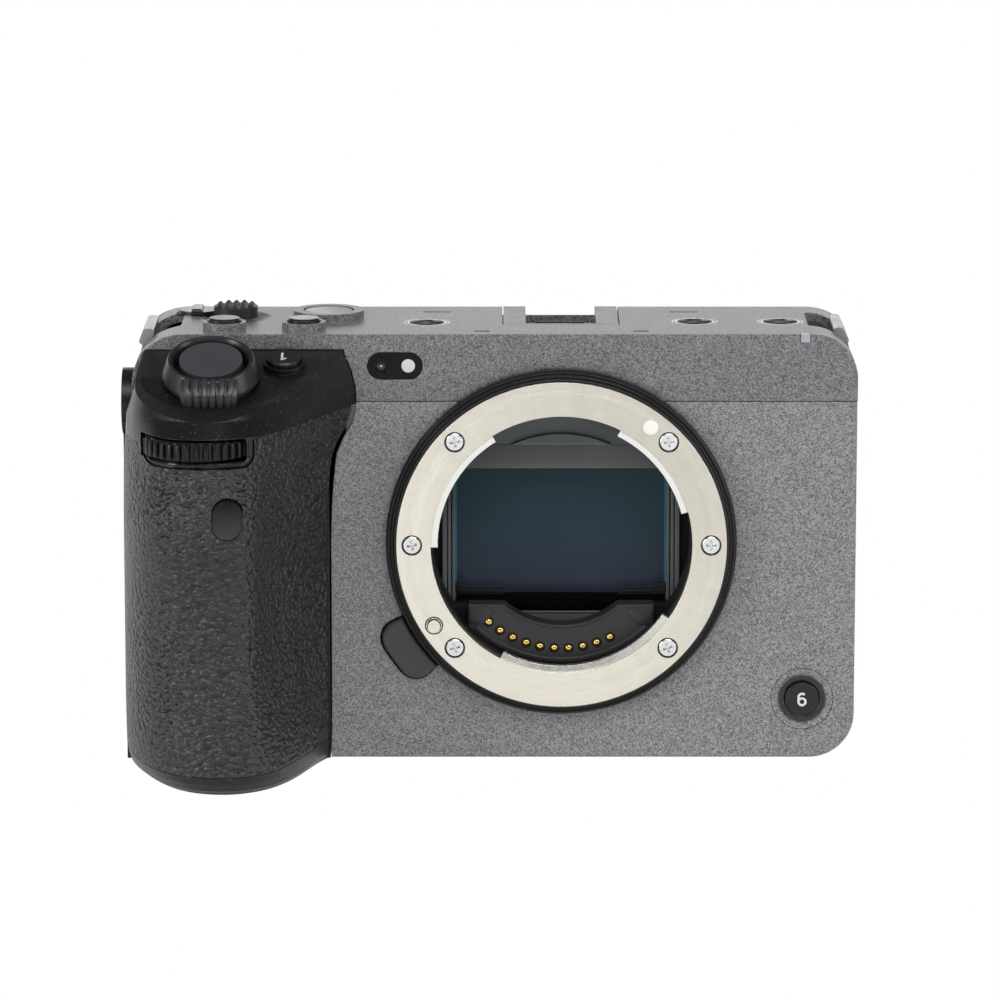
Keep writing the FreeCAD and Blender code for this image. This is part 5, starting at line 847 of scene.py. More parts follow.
@dataclass(frozen=True)
class CrossHead:
    """A flat screw head with a tapered cross recess.

    The arm's half width, the recess's reach and the flat face are shares of the radius. The recess's
    floor is a share of its mouth and of the depth, and the chamfer is a share of the depth.
    """

    radius: float
    depth: float
    arm: float = 0.12
    reach: float = 0.54
    face: float = 0.86
    floor: float = 0.6
    chamfer: float = 0.16

    def part(self) -> bmesh.types.BMesh:
        """Shapes the head, its top at height 0.

        Returns:
            The head as a closed mesh.
        """
        part = bmesh.new()
        arm, reach, face = (self.radius * share for share in (self.arm, self.reach, self.face))
        quarter = ((reach, arm), (arm, arm), (arm, reach))
        flat = [complex(*point) * 1j ** turn for turn in range(4) for point in quarter]
        mouth = [part.verts.new((p.real, p.imag, 0.0)) for p in flat]
        sunk = -self.depth * self.floor
        floor = [part.verts.new((p.real * self.floor, p.imag * self.floor, sunk)) for p in flat]
        ring = [part.verts.new((*polar(face, 15.0 * step), 0.0)) for step in range(24)]
        for turn in range(4):
            near, middle, far = mouth[3 * turn:3 * turn + 3]
            arc = [ring[(6 * turn + step) % 24] for step in range(7)]
            part.faces.new((near, *arc, far, middle))
            part.faces.new((far, arc[-1], mouth[(3 * turn + 3) % 12]))
        for step in range(12):
            after = (step + 1) % 12
            part.faces.new((mouth[step], mouth[after], floor[after], floor[step]))
        part.faces.new(floor)
        for grow, drop in ((1.0 / self.face, self.depth * self.chamfer), (1.0, self.depth)):
            rim = [e for e in part.edges if e.is_boundary]
            skirt = only_points(bmesh.ops.extrude_edge_only(part, edges=rim)["geom"])
            bmesh.ops.scale(part, vec=(grow, grow, 1.0), verts=skirt)
            bmesh.ops.translate(part, vec=(0, 0, -drop), verts=skirt)
        bmesh.ops.holes_fill(part, edges=[e for e in part.edges if e.is_boundary])
        return part


# The planes of the body's faces and the height of the optical axis

FRONT_Y = -16.0
REAR_Y = 30.0
TOP_Z = 76.4
RIGHT_X = 52.1
FLANGE_Y = -20.0
AXIS_Z = LENS_AXIS[1]


# The mount and what shows through it


@dataclass(frozen=True)
class MountFittings:
    """Screws, trim ring, lug faces with painted light, index dot and the collar round the lock pin."""

    angles: tuple[float, ...] = (0.0, 44.5, 135.5, 180.0, 224.5, 315.5)
    circle: float = 26.35
    head: CrossHead = CrossHead(1.68, 1.0)
    first_turn: float = 4.0
    next_turn: float = 3.0
    sunk: float = 0.04
    outline: Point2 = (0.01, 0.14)
    shadow_ring_span: Point2 = (-0.3, 0.012)
    shank: Point2 = (0.95, 5.3)
    trim: tuple[Point2, ...] = ((29.22, 0.0), (30.95, 0.0), (30.95, 1.75), (30.6, 2.25), (30.42, 2.25),
                                (30.38, 2.05), (30.26, 2.05), (30.22, 2.5), (29.98, 2.95), (29.86, 2.95),
                                (29.82, 2.75), (29.7, 2.75), (29.66, 3.1), (29.5, 3.3), (29.22, 3.3),
                                (29.22, 0.0))
    lug: tuple[Point2, ...] = ((21.83, -0.38), (22.8, -0.38), (22.8, -0.2), (21.83, -0.33))
    lug_arcs: tuple[Point2, ...] = ((15.0, 63.1), (122.2, 180.9), (242.5, 324.9))
    index: Point2 = (15.6, 21.1)
    index_dome: tuple[Point2, ...] = ((0.0, 0.07), (0.924, 0.06), (1.32, 0.0), (1.32, -0.3), (0.0, -0.3))
    pin: Point2 = (26.7, 212.7)
    collar: tuple[Point2, ...] = ((1.2, -0.5), (1.62, -0.5), (1.62, 0.03), (1.5, 0.05), (1.2, -0.1),
                                  (1.2, -0.5))

    def screws(self, form: Form, flange: Matrix) -> None:
        """Adds each screw's head with a dark line round it as painted shadow, and its shank.

        Args:
            form: The piece.
            flange: The ring's face on the optical axis.
        """
        inner, outer = (self.head.radius + gap for gap in self.outline)
        low, high = self.shadow_ring_span
        radius, length = self.shank
        top = -self.head.depth
        shank = ((0.0, top), (radius, top), (radius, -length), (0.0, -length))
        for number, angle in enumerate(self.angles):
            turn = self.first_turn + self.next_turn * number
            seat = shifted(flange, *polar(self.circle, angle), -self.sunk, turn)
            form.take(self.head.part(), Skin.BRIGHT, seat)
            # Painted shadow: a thin black ring round each head stands in for the shade in its countersink.
            form.hoop((inner, outer), (low, high + self.sunk), Skin.MATT_BLACK, seat, steps=36)
            form.turned(shank, Skin.STEEL, seat, steps=16)

    def build(self, wardrobe: Wardrobe) -> None:
        """Builds the five pieces.

        Args:
            wardrobe: The finishes.
        """
        flange = Facing.FRONT.seat(0.0, FLANGE_Y, AXIS_Z)
        screws = Form("mount_screw_heads", wardrobe)
        self.screws(screws, flange)
        screws.fit("body", "screw_metal", "mount_screws")
        trim = Form("mount_trim_steps", wardrobe)
        trim.turned(self.trim, Skin.TRIM, Facing.FRONT.seat(0.0, FRONT_Y, AXIS_Z), steps=160)
        trim.fit("body", "gloss_black", "mount_trim_ring")
        # The lug faces take the lighter metal: painted light on the ring's lugs.
        lugs = Form("lit_lug_faces", wardrobe)
        for span in self.lug_arcs:
            lugs.sector(self.lug, span, Skin.LUG, flange, steps=48)
        lugs.fit("body", "mount_metal")
        dot = Form("index_dot", wardrobe)
        dot.turned(self.index_dome, Skin.INDEX, shifted(flange, *self.index), steps=36)
        dot.fit("body", "mount_metal")
        collar = Form("lock_pin_collar", wardrobe)
        collar.turned(self.collar, Skin.MATT_BLACK, shifted(flange, *polar(*self.pin)), steps=36)
        collar.fit("body", "mount_metal")


@dataclass(frozen=True)
class ContactRow:
    """Ten domed gold contacts and the raised edges of their block."""

    count: int = 10
    circle: float = 19.7
    first: float = 229.3
    pitch: float = 7.44
    face_y: float = -14.6
    pin: tuple[Point2, ...] = ((0.0, 0.34), (0.12, 0.35), (0.18, 0.4), (0.36, 0.37), (0.53, 0.26),
                               (0.62, 0.1), (0.62, -0.2), (0.5, -0.2), (0.5, -3.9), (0.0, -3.9))
    cup: tuple[Point2, ...] = ((0.66, -0.3), (0.94, -0.3), (0.94, 0.0), (0.86, 0.06), (0.66, 0.02),
                               (0.66, -0.3))
    lip: tuple[Point2, ...] = ((15.55, -0.4), (15.95, -0.4), (15.95, 0.28), (15.55, 0.28))
    lip_arc: Point2 = (231.5, 308.5)
    step: tuple[Point2, ...] = ((21.0, -0.4), (22.3, -0.4), (22.3, 0.42), (21.45, 0.42))
    step_arc: Point2 = (226.0, 314.0)
    shoulder: tuple[Point2, ...] = ((-16.2, -12.25), (-12.75, -12.25), (-11.75, -13.1), (-13.6, -15.3),
                                    (-16.2, -15.3))
    shoulder_half: float = 0.3

    def build(self, wardrobe: Wardrobe) -> None:
        """Builds the contacts and the block's relief.

        Args:
            wardrobe: The finishes.
        """
        face = Facing.FRONT.seat(0.0, self.face_y, AXIS_Z)
        pins = Form("contact_domes", wardrobe)
        relief = Form("contact_block_relief", wardrobe)
        for number in range(self.count):
            seat = shifted(face, *polar(self.circle, self.first + number * self.pitch))
            pins.turned(self.pin, Skin.GOLD, seat, steps=20)
            relief.turned(self.cup, Skin.MATT_BLACK, seat, steps=20)
        pins.fit("body", "contact_gold", "contact_pins")
        relief.sector(self.lip, self.lip_arc, Skin.CONTACT_PLASTIC, face, steps=40, round_by=0.1)
        relief.sector(self.step, self.step_arc, Skin.CONTACT_PLASTIC, face, steps=40, round_by=0.1)
        for mirror in (1.0, -1.0):
            outline = [(mirror * x, y) for x, y in self.shoulder]
            relief.plate(outline, -self.shoulder_half, self.shoulder_half, Skin.CONTACT_PLASTIC, face,
                         round_by=0.12)
        relief.fit("body", "contact_plastic")


@dataclass(frozen=True)
class Chamber:
    """The dark steps that frame the sensor behind the throat. Heights are from the optical axis."""

    mask_y: float = -7.6
    field_radius: float = 22.6
    field_top: float = 22.3
    band: Point2 = (11.5, 15.9)
    band_thick: float = 0.35
    back_thick: float = 0.3
    arch: Point2 = (20.8, -2.9)
    arch_top: float = 22.0
    arch_thick: float = 1.1
    foot: Point2 = (16.8, -14.6)
    foot_low: float = -22.0
    ledge: Point2 = (34.0, 0.28)
    ledge_over: float = 0.1
    ledge_top: float = 0.55
    rails: tuple[tuple[float, float, float], ...] = ((19.1, 0.5, 0.35), (19.85, 0.6, 0.9), (20.7, 0.8, 1.6))
    rail_height: float = 23.2
    rail_middle: float = -1.4
    corner_at: Point2 = (14.4, -10.9)
    corner: Point2 = (8.5, 0.9)
    nib_at: Point2 = (3.6, 0.8)
    nib: Point2 = (1.6, 1.6)
    sill_at: float = -12.75
    sill: Point2 = (37.2, 3.2)
    root: float = -0.6
    rise: float = 0.4
    corner_rise: float = 0.45
    sharp: float = 0.1

    def segment(self, form: Form, disc: Point2, keep: Point2, thick: float, skin: Skin, seat: Matrix) -> None:
        """Adds the part of a disc between two heights.

        Args:
            form: The piece.
            disc: The disc's radius and the height of its centre.
            keep: The two heights.
            thick: Its thickness.
            skin: Its finish.
            seat: The mask on the optical axis.
        """
        part = bmesh.new()
        bmesh.ops.create_circle(part, cap_ends=True, radius=disc[0], segments=96)
        bmesh.ops.translate(part, vec=(0, disc[1], 0), verts=part.verts)
        for height, up in ((keep[0], -1), (keep[1], 1)):
            everything = [*part.verts, *part.edges, *part.faces]
            bmesh.ops.bisect_plane(part, geom=everything, plane_co=(0, height, 0), plane_no=(0, up, 0),
                                   clear_outer=True)
        thicken(part, thick)
        form.take(part, skin, seat, round_by=0.08)

    def build(self, wardrobe: Wardrobe) -> None:
        """Builds the frame's steps as one piece.

        Args:
            wardrobe: The finishes.
        """
        mask = Facing.FRONT.seat(0.0, self.mask_y, AXIS_Z)
        form = Form("chamber_steps", wardrobe)
        field, top = (self.field_radius, 0.0), self.band[1]
        # The greys of the steps are painted light on one dark satin material.
        self.segment(form, field, self.band, self.band_thick, Skin.GREY_BAFFLE, mask)
        self.segment(form, field, (top, self.field_top), self.back_thick, Skin.ARCH, mask)
        self.segment(form, self.arch, (top, self.arch_top), self.arch_thick, Skin.ARCH, mask)
        radius, level = self.foot
        self.segment(form, (radius, 0.0), (self.foot_low, level), self.band_thick, Skin.DARK_BAFFLE, mask)
        form.pad(self.ledge, self.sharp, 0.0, self.ledge_top, Skin.GREY_BAFFLE,
                 shifted(mask, 0.0, level + self.ledge_over))
        for side in (-1.0, 1.0):
            for x, width, rise in self.rails:
                form.pad((width, self.rail_height), self.sharp, 0.0, rise, Skin.DARK_BAFFLE,
                         shifted(mask, side * x, self.rail_middle), round_by=0.06)
            corner = shifted(mask, side * self.corner_at[0], self.corner_at[1])
            form.pad(self.corner, self.sharp, self.root, self.corner_rise, Skin.MATT_BLACK, corner,
                     round_by=0.1)
            form.pad(self.nib, self.sharp, self.root, self.rise, Skin.MATT_BLACK,
                     shifted(corner, side * self.nib_at[0], self.nib_at[1]), round_by=0.1)
        spot = shifted(mask, 0.0, self.sill_at)
        form.pad(self.sill, self.sharp, self.root, self.rise, Skin.GAP, spot, round_by=0.1)
        form.fit("body", "chamber_black")


# The grip's controls


@dataclass(frozen=True)
class ZoomLever:
    """The conical zoom lever with its flared, ribbed finger tab."""

    seat_at: tuple[float, float, float, float] = (-61.0, -28.0, 74.2, 23.0)
    cone: tuple[Point2, ...] = ((6.42, -3.5), (8.6, -3.5), (8.58, -3.1), (8.35, -2.75), (7.62, -0.35),
                                (7.42, -0.06), (7.2, 0.0), (6.98, -0.05), (6.5, -0.75), (6.42, -1.2),
                                (6.42, -3.5))
    profile: tuple[Point2, ...] = ((-6.75, 0.05), (-7.7, 0.3), (-9.3, -0.25), (-10.4, -1.15), (-11.05, -3.3),
                                   (-8.5, -3.35), (-7.6, -1.6))
    crest_points: int = 5
    top_half: float = 4.9
    nose_half: float = 5.15
    foot_half: float = 4.3
    under_ribs: Point2 = (0.5, -0.42)
    ribs: int = 6
    rib_share: float = 0.58
    rib_back: Point2 = (0.9, -0.7)
    end_gap: float = 0.6
    sweep: float = 0.55

    def build(self, wardrobe: Wardrobe) -> None:
        """Builds the lever, which replaces the CAD one.

        Args:
            wardrobe: The finishes.
        """
        x, y, z, lean = self.seat_at
        seat = Facing.TOP.seat(x, y, z, lean)
        form = Form("zoom_lever_body", wardrobe)
        form.turned(self.cone, Skin.LEVER, seat, steps=96)
        form.take(self.tab(), Skin.TAB, seat, round_by=0.14)
        pitch = 2 * self.nose_half / (self.ribs + self.end_gap)
        for number in range(self.ribs):
            offset = (number - (self.ribs - 1) / 2) * pitch
            form.take(self.rib(offset, pitch * self.rib_share), Skin.TAB, seat, round_by=0.07)
        form.fit("zoom_lever", "lever_black", "zoom_lever")

    def half_width(self, y: float) -> float:
        """Half the tab's width, widest at the nose.

        Args:
            y: The place along the tab, below zero away from the lever's axis.

        Returns:
            The half width.
        """
        start, nose, foot = (self.profile[corner][0] for corner in (0, 2, 4))
        if y > nose:
            share = min(1.0, max(0.0, (y - start) / (nose - start)))
            return self.top_half + (self.nose_half - self.top_half) * share
        return self.nose_half + (self.foot_half - self.nose_half) * min(1.0, (y - nose) / (foot - nose))

    def tab(self) -> bmesh.types.BMesh:
        """Shapes the wedge under the ribs.

        Returns:
            The wedge as a closed mesh.
        """
        part = bmesh.new()
        back, down = self.under_ribs
        face = part.faces.new([part.verts.new((-1.0, y + back, z + down)) for y, z in self.profile])
        moved = bmesh.ops.extrude_face_region(part, geom=[face])["geom"]
        bmesh.ops.translate(part, vec=(2.0, 0, 0), verts=only_points(moved))
        for point in part.verts:
            point.co.x *= self.half_width(point.co.y)
        return part

    def rib(self, offset: float, width: float) -> bmesh.types.BMesh:
        """Shapes one rib down the nose of the tab.

        Args:
            offset: Its place across the tab.
            width: Its width.

        Returns:
            The rib as a closed mesh.
        """
        part = bmesh.new()
        crest = self.profile[:self.crest_points]
        back = [(y + self.rib_back[0], z + self.rib_back[1]) for y, z in reversed(crest)]
        face = part.faces.new([part.verts.new((offset - width / 2, y, z)) for y, z in (*crest, *back)])
        moved = bmesh.ops.extrude_face_region(part, geom=[face])["geom"]
        bmesh.ops.translate(part, vec=(width, 0, 0), verts=only_points(moved))
        share = offset / self.nose_half
        for point in part.verts:
            point.co.x += share * (self.half_width(point.co.y) - self.nose_half)
            point.co.y += self.sweep * share * share
        return part


@dataclass(frozen=True)
class GripTrim:
    """The bead round the front dial's window and the rim of the remote window."""

    nose: tuple[Point2, ...] = ((-74.0, -34.3), (-72.0, -39.3), (-71.0, -41.1), (-68.6, -43.9),
                                (-66.0, -45.42), (-62.6, -46.07), (-58.0, -45.64), (-56.0, -45.0),
                                (-54.0, -43.75), (-53.0, -42.78), (-52.0, -41.5))
    window: tuple[float, float, float, float] = (-72.1, -53.1, 58.05, 62.6)
    window_corner: float = 2.0
    beads: tuple[tuple[float, float, Skin], ...] = ((0.0, 0.24, Skin.GAP), (0.62, 0.288, Skin.TRIM))
    bead_sunk: float = 0.05
    lower_steps: int = 14
    pill: tuple[float, float, float, float] = (-60.2, -55.0, 45.55, 52.7)
    pill_bead: float = 0.24
    pill_proud: float = 0.12

    def on_nose(self, x: float, z: float, proud: float) -> Vector:
        """A point of the grip's front.

        Args:
            x: Its X.
            z: Its height.
            proud: How far it stands out.

        Returns:
            The point in the camera's own frame.
        """
        for (x0, y0), (x1, y1) in zip(self.nose, self.nose[1:]):
            if x <= x1:
                break
        return Vector((x, y0 + (y1 - y0) * (x - x0) / (x1 - x0) - proud, z))

    def window_course(self, inset: float) -> list[Point2]:
        """The window's edge: down one side, along the foot and up the other.

        Args:
            inset: How far inside the edge it runs.

        Returns:
            Its (x, z) points.
        """
        left, right, low, high = self.window
        left, right, low, turn = left + inset, right - inset, low + inset, self.window_corner - inset
        shoulder = (high + low + turn) / 2
        arc = [polar(turn, 9.0 * step) for step in range(11)]
        run = (right - left - 2 * turn) / self.lower_steps
        return [(left, high), (left, shoulder),
                *((left + turn - x, low + turn - y) for x, y in arc),
                *((left + turn + run * step, low) for step in range(1, self.lower_steps)),
                *((right - turn + x, low + turn - y) for x, y in reversed(arc)),
                (right, shoulder), (right, high)]

    def build(self, wardrobe: Wardrobe) -> None:
        """Builds both windows' beads.

        Args:
            wardrobe: The finishes.
        """
        form = Form("dial_window_beads", wardrobe)
        for inset, radius, skin in self.beads:
            course = self.window_course(inset)
            form.bead([self.on_nose(x, z, -self.bead_sunk) for x, z in course], radius, skin)
        form.fit("body", "gloss_black")
        left, right, low, high = self.pill
        half = (right - left) / 2
        arc = [polar(half, 12.0 * step) for step in range(16)]
        course = [(left + half + x, high - half + y) for x, y in arc]
        course += [(left + half - x, low + half - y) for x, y in arc]
        rim = Form("remote_window_rim", wardrobe)
        path = [self.on_nose(x, z, self.pill_proud) for x, z in course]
        rim.bead(path, self.pill_bead, Skin.GAP, closed=True)
        rim.fit("body", "gloss_black")


@dataclass(frozen=True)
class Dial:
    """A flat knurled dial."""

    node: str
    place: tuple[float, float, float]
    radius: float
    half: float
    teeth: int
    dish: float = 0.35
    dish_shares: Point2 = (0.62, 0.7)
    tooth_root: float = 0.75
    tooth_middle: float = 0.65
    tooth_deep: float = 1.3
    tooth_share: float = 0.62
    tooth_taper: Point2 = (0.72, 0.88)
    tooth_short: float = 0.3
    chamfer: float = 0.25

    def build(self, wardrobe: Wardrobe) -> None:
        """Builds the dial's core and its bevelled teeth.

        Args:
            wardrobe: The finishes.
        """
        seat = Facing.TOP.seat(*self.place)
        core, high, cut = self.radius - self.tooth_root, self.half, self.chamfer
        inner, outer = (core * share for share in self.dish_shares)
        form = Form(f"{self.node}_knurled", wardrobe)
        form.turned(((0.0, high - self.dish), (inner, high - self.dish), (outer, high), (core - cut, high),
                     (core, high - cut), (core, -high + cut), (core - cut, -high), (0.0, -high)),
                    Skin.DIAL, seat, steps=96)
        wide = math.tau * self.radius / self.teeth * self.tooth_share
        for number in range(self.teeth):
            part = bmesh.new()
            bmesh.ops.create_cube(part, size=1.0)
            bmesh.ops.scale(part, vec=(self.tooth_deep, wide, 2 * high - self.tooth_short), verts=part.verts)
            outside = [v for v in part.verts if v.co.x > 0]
            bmesh.ops.scale(part, vec=(1.0, *self.tooth_taper), verts=outside)
            turn = shifted(seat, 0.0, 0.0, 0.0, 360.0 * number / self.teeth)
            form.take(part, Skin.DIAL, shifted(turn, self.radius - self.tooth_middle, 0.0), round_by=0.16)
        form.fit(self.node, "dial_black", self.node)


@dataclass(frozen=True)
class Dials:
    """The dial in the grip's window and the one at the rear corner."""

    dials: tuple[Dial, ...] = (Dial("front_dial", (-62.6, -38.0, 61.0), 9.6, 1.7, 36),
                               Dial("rear_dial", (-63.5, 21.2, 66.9), 10.0, 1.6, 40))

    def build(self, wardrobe: Wardrobe) -> None:
        """Builds both with the wardrobe's finishes."""
        for dial in self.dials:
            dial.build(wardrobe)


@dataclass(frozen=True)
class Figures:
    """The plain numerals on the iris button and the front record button, and the rings round the latter."""

    stroke: float = 0.42
    one_at: tuple[float, float, float] = (-48.5, -22.52, 73.57)
    one_lean: float = 16.7
    one_half: float = 1.4
    one_thick: float = 0.05
    flag: Point2 = (0.15, -0.45)
    foot: float = 0.1
    record: Point2 = (42.8, 10.8)
    cap_y: float = -16.6
    six_half: float = 1.25
    bowl: float = 0.83
    bowl_span: Point2 = (0.0, 0.05)
    crown_span: Point2 = (-0.01, 0.06)
    crown_arc: Point2 = (42.0, 180.0)
    stem_span: Point2 = (-0.01, 0.055)
    well: Point2 = (3.42, 4.1)
    line: Point2 = (5.45, 5.54)
    ring_span: Point2 = (-0.1, 0.012)

    def one(self, form: Form, seat: Matrix) -> None:
        """Adds a numeral one.

        Args:
            form: The piece.
            seat: Its middle.
        """
        high, wide, foot = self.one_half, self.stroke, self.foot
        crest, tip = self.flag
        outline = ((foot, -high), (foot + wide, -high), (foot + wide, high), (crest, high),
                   (tip, high * 0.62), (tip, high * 0.32), (foot, high * 0.6))
        form.plate(outline, 0.0, self.one_thick, Skin.FIGURE, seat)

    def six(self, form: Form, seat: Matrix) -> None:
        """Adds a numeral six: a bowl, a crown of the same radius and the stem between them.

        Args:
            form: The piece.
            seat: Its middle.
        """
        radius, inner = self.bowl, self.bowl - self.stroke
        rise = self.six_half - radius
        form.hoop((inner, radius), self.bowl_span, Skin.FIGURE, shifted(seat, 0.0, -rise), steps=32)
        low, high = self.crown_span
        section = ((inner, low), (radius, low), (radius, high), (inner, high))
        form.sector(section, self.crown_arc, Skin.FIGURE, shifted(seat, 0.0, rise), steps=14)
        stem = ((-radius, -rise), (-inner, -rise), (-inner, rise), (-radius, rise))
        form.plate(stem, *self.stem_span, Skin.FIGURE, seat)

    def build(self, wardrobe: Wardrobe) -> None:
        """Builds both numerals on their buttons and the rings.

        Args:
            wardrobe: The finishes.
        """
        iris = Form("iris_figure", wardrobe)
        self.one(iris, Facing.TOP.seat(*self.one_at, self.one_lean, 180.0))
        iris.fit("iris_button", "button_black")
        x, z = self.record
        front = Form("front_record_figure", wardrobe)
        self.six(front, Facing.FRONT.seat(x, self.cap_y, z))
        front.fit("front_rec_button", "button_black")
        rings = Form("front_record_rings", wardrobe)
        for radii, skin in ((self.well, Skin.RUBBER), (self.line, Skin.GAP)):
            rings.hoop(radii, self.ring_span, skin, Facing.FRONT.seat(x, FRONT_Y, z), steps=64)
        rings.fit("body", "gloss_black")


# Front and top fittings


@dataclass(frozen=True)
class FocusWindow:
    """The oblong window of the focus lamp, with its lens at the left and its white lamp at the right."""

    centre: Point2 = (-29.3, 70.75)
    size: Point2 = (9.5, 4.6)
    face_y: float = -15.85
    rim_span: Point2 = (-0.2, 0.13)
    rim_wall: float = 0.42
    lens_x: float = -2.4
    lamp_x: float = 2.35
    hood: tuple[Point2, ...] = ((0.8, -0.1), (1.78, -0.1), (1.78, 0.06), (1.68, 0.11), (1.5, 0.11),
                                (1.42, 0.05), (1.2, 0.05), (0.86, -0.04), (0.8, -0.1))
    eye: tuple[Point2, ...] = ((0.0, 0.07), (0.3, 0.06), (0.62, 0.02), (0.84, -0.06), (0.84, -0.2),
                               (0.0, -0.2))
    pupil: tuple[Point2, ...] = ((0.0, 0.09), (0.16, 0.08), (0.16, 0.0), (0.0, 0.0))
    lamp: tuple[Point2, ...] = ((0.0, 0.12), (0.85, 0.1), (1.14, 0.05), (1.24, -0.04), (1.24, -0.2),
                                (0.0, -0.2))

    def build(self, wardrobe: Wardrobe) -> None:
        """Builds the rim, the lens and the lamp.

        Args:
            wardrobe: The finishes.
        """
        seat = Facing.FRONT.seat(self.centre[0], self.face_y, self.centre[1])
        form = Form("focus_window_fittings", wardrobe)
        form.pad(self.size, self.size[1] / 2, *self.rim_span, Skin.TRIM, seat, round_by=0.05,
                 wall=self.rim_wall)
        lens = shifted(seat, self.lens_x, 0.0)
        form.turned(self.hood, Skin.WINDOW, lens)
        form.turned(self.eye, Skin.LENS, lens)
        form.turned(self.pupil, Skin.BRIGHT, lens, steps=16)
        form.turned(self.lamp, Skin.WHITE, shifted(seat, self.lamp_x, 0.0))
        form.fit("body", "window_dark")


@dataclass(frozen=True)
class Socket:
    """The thread and rim of one quarter-inch socket, seen down its bore."""

    place: tuple[float, float, float]
    facing: Facing
    depth: float = 4.6
    rim: tuple[Point2, ...] = ((3.22, -0.25), (3.95, -0.25), (3.95, 0.015), (3.75, 0.03), (3.4, 0.0),
                               (3.22, -0.25))
    bore: float = 3.17
    crest: float = 2.86
    first: float = -0.35
    pitch: float = 0.8
    flanks: Point2 = (0.45, 0.55)

    def add(self, form: Form) -> None:
        """Adds the rim and the thread's ridges to a piece.

        Args:
            form: The piece.
        """
        seat = self.facing.seat(*self.place)
        form.turned(self.rim, Skin.INSERT, seat, steps=48)
        ridges: list[Point2] = [(self.bore, self.first)]
        for turn in range(int(self.depth / self.pitch)):
            level = self.first - turn * self.pitch
            ridges += [(self.crest, level - self.pitch * flank) for flank in self.flanks]
            ridges.append((self.bore, level - self.pitch))
        form.turned((*ridges, ridges[0]), Skin.THREAD, seat, steps=40)


@dataclass(frozen=True)
class Sockets:
    """Every threaded socket's detail."""

    sockets: tuple[Socket, ...] = (
        Socket((-23.8, -3.0, TOP_Z), Facing.TOP), Socket((23.8, -2.0, TOP_Z), Facing.TOP),
        Socket((39.0, -2.0, TOP_Z), Facing.TOP), Socket((0.0, 0.0, 0.0), Facing.BASE, 4.4),
    )

    def build(self, wardrobe: Wardrobe) -> None:
        """Builds them as one piece.

        Args:
            wardrobe: The finishes.
        """
        form = Form("socket_threads", wardrobe)
        for socket in self.sockets:
            socket.add(form)
        form.fit("body", "insert_steel")


@dataclass(frozen=True)
class Microphones:
    """The wire gauze in the two microphone openings of the top, and a dark edge of painted shade round each.
    """

    places: tuple[Point2, ...] = ((-14.0, -12.5), (14.0, -12.5))
    sunk: float = 0.55
    wires: int = 5
    pitch: float = 0.5
    wire: Point2 = (0.16, 1.3)
    wire_corner: float = 0.07
    wire_span: Point2 = (-0.2, 0.0)
    cross_wire: Point2 = (2.6, 0.14)
    cross_corner: float = 0.06
    cross_span: Point2 = (-0.2, 0.03)
    edge: Point2 = (3.3, 2.2)
    edge_corner: float = 1.05
    edge_span: Point2 = (-0.1, 0.02)
    edge_wall: float = 0.45

    def build(self, wardrobe: Wardrobe) -> None:
        """Builds both as one piece.

        Args:
            wardrobe: The finishes.
        """
        form = Form("microphone_gauze", wardrobe)
        for x, y in self.places:
            seat = Facing.TOP.seat(x, y, TOP_Z - self.sunk)
            for number in range(self.wires):
                spot = shifted(seat, (number - (self.wires - 1) / 2) * self.pitch, 0.0)
                form.pad(self.wire, self.wire_corner, *self.wire_span, Skin.STEEL, spot)
            form.pad(self.cross_wire, self.cross_corner, *self.cross_span, Skin.STEEL, seat)
            # Painted shade: a black frame round each opening's mouth stands in for the shade down the hole.
            face = shifted(seat, 0.0, 0.0, self.sunk)
            form.pad(self.edge, self.edge_corner, *self.edge_span, Skin.GAP, face, wall=self.edge_wall)
        form.fit("body", "insert_steel")


